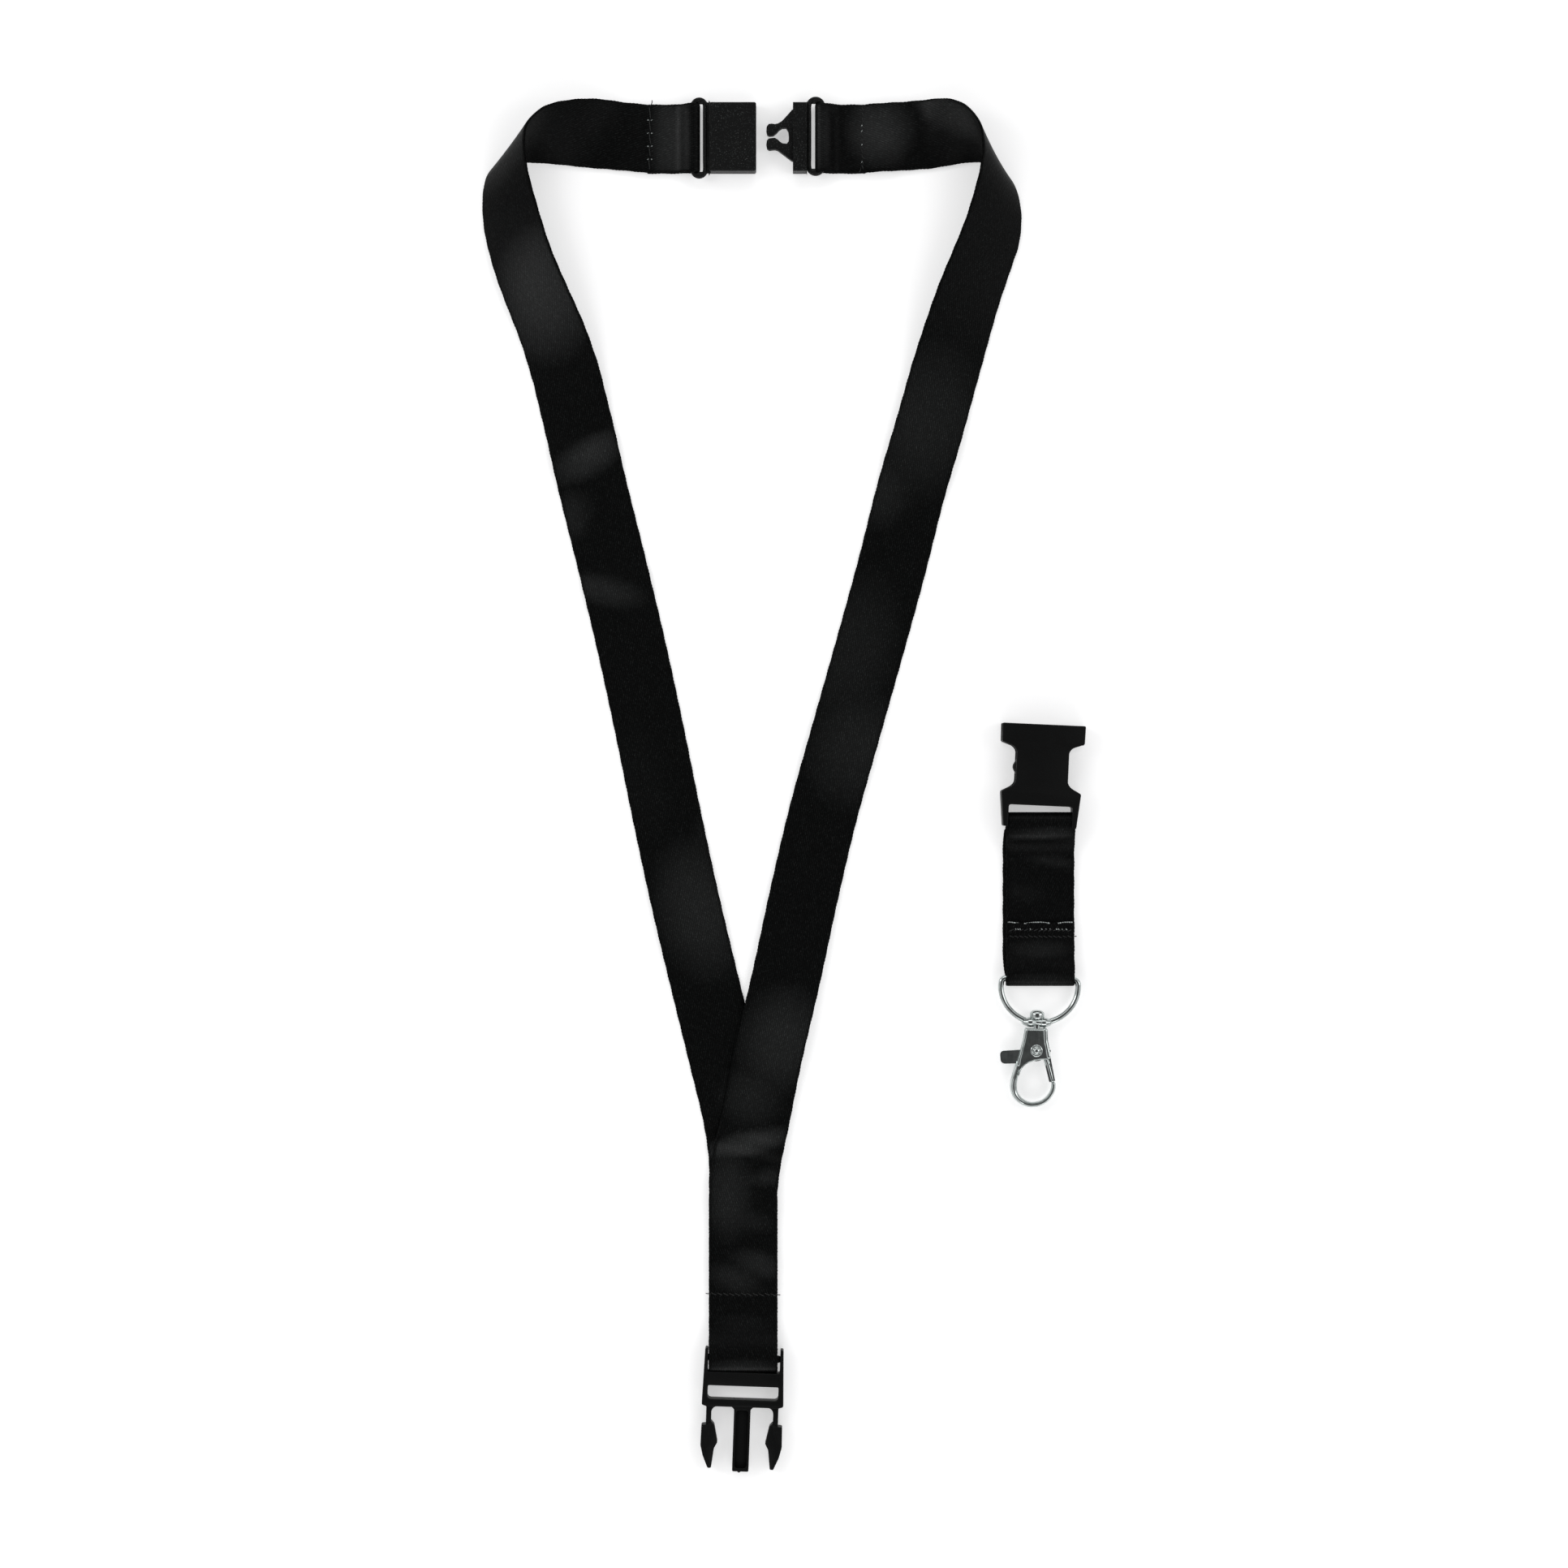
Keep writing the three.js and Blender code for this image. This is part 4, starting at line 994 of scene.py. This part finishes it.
socket_ring = tube_mesh(stadium(-26.5, -22.9, 177.0, 199.2), 0.74, 0.85, closed=True)
socket_ends = [
    tube_mesh([(-25.7, y, RING_Z), (-23.7, y, RING_Z)], 0.8, 0.8) for y in (198.7, 177.5)
]
neck_outline = rounded([(-22.9, 177.8), (-21.6, 177.8), (-21.6, 198.4), (-22.9, 198.4)])
socket_neck = plate_mesh([neck_outline], 2.1, 3.3, 0.1)
socket_box = cad_part("breakaway_socket", ((BOX_X, 0, 0), (1, 0, 0)))
socket = hard(
    "breakaway_socket_shell", [socket_ring, *socket_ends, socket_neck, socket_box],
    *GRAINY, bevel=0.12,
)
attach(socket, "breakaway_socket")
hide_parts("breakaway_socket")

clip_ring = tube_mesh(stadium(7.2, 11.25, 177.8, 199.4), 0.76, 0.9, closed=True)
clip_ends = [tube_mesh([(8.3, y, RING_Z), (10.2, y, RING_Z)], 0.8, 0.8) for y in (198.8, 178.4)]
clip_block = cad_part("breakaway_clip", ((BLOCK_X[1], 0, 0), (-1, 0, 0)))
work = bmesh.new()
work.from_mesh(clip_block)
bmesh.ops.bisect_plane(
    work, geom=work.verts[:] + work.edges[:] + work.faces[:],
    plane_co=(BLOCK_X[0], 0, 0), plane_no=(-1, 0, 0), clear_outer=True,
)
bmesh.ops.holes_fill(work, edges=[e for e in work.edges if e.is_boundary], sides=0)
work.to_mesh(clip_block)
work.free()
FORK = [
    (3.2, 196.4), (2.35, 196.2), (1.5, 195.2), (0.42, 194.0), (-0.6, 192.9), (-1.76, 192.2),
    (-2.6, 192.0), (-3.6, 192.15), (-4.5, 192.0), (-5.05, 191.3), (-5.15, 189.9), (-4.9, 188.9),
    (-4.3, 188.55), (-3.08, 188.7), (-2.2, 189.4), (-1.4, 190.3), (-0.5, 190.85), (0.6, 190.9),
    (1.25, 189.9), (1.4, 188.4), (1.35, 187.0), (0.8, 186.3), (-0.4, 186.4), (-1.2, 186.9),
    (-1.8, 187.5), (-2.64, 188.0), (-3.5, 187.95), (-4.5, 187.8), (-5.0, 187.2), (-5.15, 186.0),
    (-4.95, 184.9), (-4.3, 184.45), (-3.4, 184.6), (-2.6, 184.65), (-1.8, 184.4), (-0.45, 183.4),
    (0.6, 182.6), (1.5, 181.9), (2.35, 181.3), (3.2, 181.3),
]
prong = plate_mesh([FORK], 1.5, 3.9, 0.25)
clip = hard("breakaway_clip_shell", [clip_ring, *clip_ends, clip_block, prong], *GRAINY, bevel=0.12)
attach(clip, "breakaway_clip")
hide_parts("breakaway_clip")

# ---- side-release buckle, male half, drawn from its bar

male_place = tilted(MALE_BAR, -2)
HALF_MALE = 2.3  # half of the moulding's thickness
frame_outline = rounded([
    (-11.4, 2.9, 0.4), (-11.9, -13.6, 0.5), (-10.6, -14, 0.3), (-10.5, -14.2, 0.3),
    (-9.05, -14.2, 0.3), (-7.5, -14, 0.2), (-2.4, -14, 0.2), (2.4, -14, 0.2), (7.5, -14, 0.2),
    (9.05, -14.2, 0.3), (10.5, -14.2, 0.3), (10.6, -14, 0.3), (11.9, -13.6, 0.5), (11.4, 2.9, 0.4),
    (10.5, 2.9, 0.3), (10.5, -3.9, 0.4), (-10.5, -3.9, 0.4), (-10.5, 2.9, 0.3),
])
window = rounded([(-10.3, -7.9, 0.5), (-10.3, -11.9, 1.3), (10.3, -11.9, 1.3), (10.3, -7.9, 0.5)])
frame_plate = plate_mesh([frame_outline, window], -HALF_MALE, HALF_MALE, 0.3)
strap_bar = tube_mesh([(-9.9, 0, 0), (9.9, 0, 0)], 1.1, 1.1)
guide_outline = rounded([(-2.4, -13.4), (2.4, -13.4), (2.4, -32.7, 0.5), (-2.4, -32.7, 0.5)])
guide_base = plate_mesh([guide_outline], -HALF_MALE + 0.2, 0.8, 0.25)
groove = rounded([(-1.75, -14.9, 0.9), (1.75, -14.9, 0.9), (1.75, -31.7, 1.0), (-1.75, -31.7, 1.0)])
guide_rim = plate_mesh([guide_outline, groove], 0.3, HALF_MALE - 0.1, 0.22)
nub = lathe_mesh([(0, -0.5), (0.45, -0.4), (0.5, 0), (0.45, 0.4), (0, 0.5)], steps=12)
nub.transform(Matrix.Translation((-0.4, -32.9, 0)))


def fillet(x, y, sx, sy, radius):
    """The filling of an inner corner whose two walls run along sx and sy."""
    curve = [(x + sx * radius * (1 - math.sin(a)), y + sy * radius * (1 - math.cos(a)))
             for a in np.linspace(0, math.pi / 2, 7)]
    return plate_mesh([[(x - sx * 0.3, y - sy * 0.3)] + curve], -1.9, 1.9, 0.05)


fillets = [fillet(s * 9.0, -13.9, -s, -1, 1.9) for s in (-1, 1)]
fillets += [fillet(s * 2.3, -13.9, s, -1, 1.5) for s in (-1, 1)]
male = hard(
    "release_male_shell", [frame_plate, strap_bar, guide_base, guide_rim, nub, *fillets],
    *SMOOTH, place=male_place,
)
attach(male, "release_male")
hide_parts("release_male_frame")


def arm_meshes(side):
    """A springy arm and its barbed, ridged head, on the side -1 or +1."""
    arm = plate_mesh([[
        (side * x, y)
        for x, y in [(10.5, -13.2), (10.5, -20), (9.0, -20), (9.0, -13.2)][:: side]
    ]], -1.85, 1.85, 0.2)
    edge = [
        (10.45, -19.4), (11.75, -19.5), (11.85, -25.4), (11.1, -28.4), (9.55, -32.0),
        (8.55, -32.0), (7.89, -26.3), (6.95, -24.5), (8.03, -19.4), (9.0, -18.4),
    ]
    ridge = [(9.0, -19.3), (10.3, -24.7), (9.2, -31.2)]
    outer_drop, inner_drop = 0.35, 0.75  # how far the head's rim lies under its ridge
    work = bmesh.new()
    layers = []
    for z in (1, -1):
        rim = [
            work.verts.new((side * x, y, z * (HALF_MALE - (inner_drop if x < 9 else outer_drop))))
            for x, y in edge
        ]
        top = [work.verts.new((side * x, y, z * HALF_MALE)) for x, y in ridge]
        work.faces.new([rim[0], rim[1], rim[2], top[1], top[0]])
        work.faces.new([rim[2], rim[3], rim[4], top[2], top[1]])
        work.faces.new([rim[4], rim[5], top[2]])
        work.faces.new([rim[5], rim[6], rim[7], top[1], top[2]])
        work.faces.new([rim[7], rim[8], top[0], top[1]])
        work.faces.new([rim[8], rim[9], rim[0], top[0]])
        layers.append(rim)
    for k in range(len(edge)):
        q = (k + 1) % len(edge)
        work.faces.new([layers[0][k], layers[0][q], layers[1][q], layers[1][k]])
    head = bpy.data.meshes.new("head")
    bmesh.ops.recalc_face_normals(work, faces=work.faces)
    bmesh.ops.bevel(
        work, geom=[e for e in work.edges if e.calc_face_angle(0) > 0.1], offset=0.14,
        segments=2, affect="EDGES", clamp_overlap=True,
    )
    work.to_mesh(head)
    work.free()
    return [arm, head]


for side, label in ((-1, "left"), (1, "right")):
    arm = hard(f"release_arm_{label}_shell", arm_meshes(side), *SMOOTH, place=male_place)
    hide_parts(f"release_arm_{label}")
    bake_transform(arm)

# ---- side-release buckle, female half, drawn from its bar

female_place = tilted(FEMALE_BAR, -2.6)
SHIFT = -0.4  # from the bar's middle to the shell's
shell = [
    (-10.6, -1.7, 0.4), (-11.6, 8.4, 0.5), (-8.6, 10.0, 0.8), (-7.6, 11.2, 1.0),
    (-7.6, 20.4, 1.0), (-8.6, 21.6, 0.8), (-12.0, 22.8, 0.5), (-12.1, 28.2, 0.5),
]
full = [(x + SHIFT, y, r) for x, y, r in shell]
full += [(-x + SHIFT, y, r) for x, y, r in shell[::-1]]
slot_hole = [(-9.6, -1.7, 0.1), (-9.6, 4.6, 0.7), (8.9, 4.6, 0.7), (8.9, -1.7, 0.1)]
face = rounded(full + [(x, y, r) for x, y, r in slot_hole[::-1]])
lower = rounded(
    full[:2] + [(-10.5, 9.0, 0.3), (10.0, 9.0, 0.3)] + full[-2:]
    + [(x, y, r) for x, y, r in slot_hole[::-1]]
)
walls = [
    plate_mesh([rounded([(a, 22.6), (b, 22.6), (b, 28.1, 0.3), (a, 28.1, 0.3)])], -2.75, 2.75, 0.05)
    for a, b in ((-12.2, -11.2), (10.4, 11.4))
]
bump = tube_mesh([(-7.7, 13.8, 0), (-7.9, 15.6, 0), (-7.7, 17.4, 0)], [0.4, 0.95, 0.4], 1.5)
female_meshes = [
    plate_mesh([face], 2.6, 3.7, 0.3), plate_mesh([face], -3.7, -2.6, 0.3),
    plate_mesh([lower], -2.8, 2.8, 0.05), *walls, bump,
    tube_mesh([(-9.3, 0, 0), (8.6, 0, 0)], 1.3, 1.3),
    plate_mesh([rounded([(-6.4, 8.5), (-7.0, 8.5), (-7.0, 22), (-6.4, 22)])], -2.7, 2.7, 0.02),
    plate_mesh([rounded([(6.2, 8.5), (5.6, 8.5), (5.6, 22), (6.2, 22)])], -2.7, 2.7, 0.02),
]
female = hard("release_socket_shell", female_meshes, *SMOOTH, place=female_place)
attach(female, "release_socket")
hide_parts("release_socket")

# ---- D-ring

ring_place = tilted(RING_BAR, -1.5)
bow = [(11.25 * math.cos(a), -2.2 + 10.65 * math.sin(a), 0)
       for a in np.linspace(math.pi, 2 * math.pi, 25)]
bow += [(11.2, -1.2, 0), (10.6, -0.3, 0), (9.6, 0, 0), (6, 0, 0), (0, 0, 0), (-6, 0, 0)]
bow += [(-9.6, 0, 0), (-10.6, -0.3, 0), (-11.2, -1.2, 0)]
ring_wire = tube_mesh(bow, 0.85, 0.85, closed=True)
collar = tube_mesh(
    [(x, -12.7, 0) for x in (-3.9, -3.0, -2.1, -1.3, -0.5, 0.4, 1.2, 2.1, 2.9)],
    [1.1, 1.4, 1.45, 1.3, 1.12, 1.3, 1.45, 1.4, 1.1],
    [1.5, 1.9, 1.95, 1.75, 1.6, 1.75, 1.95, 1.9, 1.5],
)
d_ring = hard("d_ring_wire", [ring_wire, collar], *METAL, place=ring_place)
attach(d_ring, "d_ring")
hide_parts("d_ring")

# ---- hook, drawn from its gate rivet

hook_place = tilted(HOOK_RIVET, -1.5)
CHEEK = rounded([
    (-3.3, 6.4, 0.3), (-3.75, 3.1), (-4.35, 0.4), (-5.05, -2.6), (-5.6, -4.6), (-5.0, -6.2),
    (-4.3, -5.5), (-2.9, -3.85), (-0.6, -2.85), (1.6, -2.4), (4.15, -2.2, 0.3), (3.95, -0.15),
    (3.3, 3.1), (3.05, 6.4, 0.3),
])
CHEEK_IN, CHEEK_OUT = 1.2, 1.65  # heights of a cheek's two faces
RAIL_Z = 1.5  # middle of the raised rails along the cheeks
BRIDGE = rounded([(-3.3, 4.8), (3.1, 4.8), (3.05, 6.4, 0.3), (-3.3, 6.4, 0.3)])

# The hook's limb, from the cheeks to its tip: x, y, half width, half height.
LIMB = [
    (-4.95, -3.6, 0.85, 1.7), (-5.35, -5.2, 0.95, 1.75), (-6.0, -7.7, 1.02, 1.7),
    (-6.35, -10.3, 1.05, 1.6), (-5.85, -12.8, 1.0, 1.5), (-4.2, -14.7, 0.92, 1.45),
    (-1.8, -15.75, 0.82, 1.4), (0.6, -15.65, 0.78, 1.4), (2.9, -14.6, 0.76, 1.4),
    (4.6, -12.6, 0.74, 1.4), (5.25, -10.9, 0.72, 1.4), (5.3, -9.7, 0.7, 1.35),
]
hook_meshes = [
    tube_mesh([(x, y, 0) for x, y, *_ in LIMB], [p[2] for p in LIMB], [p[3] for p in LIMB]),
    plate_mesh([BRIDGE], -1.3, 1.3, 0.05),
]
for z in (RAIL_Z, -RAIL_Z):
    low, high = (CHEEK_IN, CHEEK_OUT) if z > 0 else (-CHEEK_OUT, -CHEEK_IN)
    hook_meshes += [
        plate_mesh([CHEEK], low, high, 0.12),
        tube_mesh(
            [(-3.05, 6.1, z), (-3.5, 3.1, z), (-4.1, 0.4, z), (-4.75, -2.3, z), (-5.15, -4.2, z)],
            [0.38, 0.36, 0.38, 0.42, 0.5], [0.45, 0.42, 0.42, 0.42, 0.35],
        ),
        tube_mesh(
            [(2.35, 6.1, z), (2.55, 3.1, z), (3.2, 0, z), (3.55, -1.7, z)],
            [0.6, 0.55, 0.6, 0.62], [0.5, 0.45, 0.45, 0.42],
        ),
        tube_mesh(
            [(-5.0, -7.2, z), (-4.35, -5.4, z), (-2.85, -3.75, z), (-0.6, -2.8, z),
             (1.6, -2.4, z), (3.3, -2.3, z)], 0.2, 0.3,
        ),
        tube_mesh([(-3.0, 6.15, z), (2.8, 6.15, z)], 0.3, 0.38),
    ]
hook = hard("hook_casting", hook_meshes, *METAL, place=hook_place)
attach(hook, "hook")
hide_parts("hook_body")

post = lathe_mesh([
    (0, 5), (1.2, 5), (1.2, 9.25), (1.95, 9.3), (2.15, 9.6), (2.15, 10.7), (1.95, 11.2),
    (1.4, 11.6), (0.7, 11.78), (0, 11.8),
], axis="Y")
post_piece = hard("swivel_post_knob", [post], *METAL, place=hook_place, sharp=50)
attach(post_piece, "hook")
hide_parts("swivel_post")

head = [
    (0, -2.2), (1.7, -2.2), (1.75, -1.9), (1.6, -1.62), (0.8, -1.6), (0.8, 1.6), (1.7, 1.62),
    (1.8, 1.8), (1.68, 1.98), (1.35, 2.02), (1.12, 1.85), (1.0, 1.9), (0.92, 2.15), (0.6, 2.38),
    (0.25, 2.46), (0, 2.47),
]
rivet = hard("gate_rivet_head", [lathe_mesh(head)], *METAL, place=hook_place, sharp=50)
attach(rivet, "hook")
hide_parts("gate_rivet")

spring = hard("gate_spring_wire", [cad_part("gate_spring")], NICKEL, "spring_steel", bevel=0.05)
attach(spring, "hook")
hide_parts("gate_spring")

lever_bar = tube_mesh(
    [(2.9, -2.6, -0.1), (3.7, -4.6, -0.1), (4.35, -6.8, -0.1), (4.85, -8.6, -0.1)],
    [0.7, 0.86, 0.88, 0.8], 1.15,
)
lever_bar.transform(hook_place)
gate = hard("gate_lever_casting", [cad_part("gate_lever"), lever_bar], *METAL, bevel=0.12)
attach(gate, "gate")
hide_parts("gate_lever")
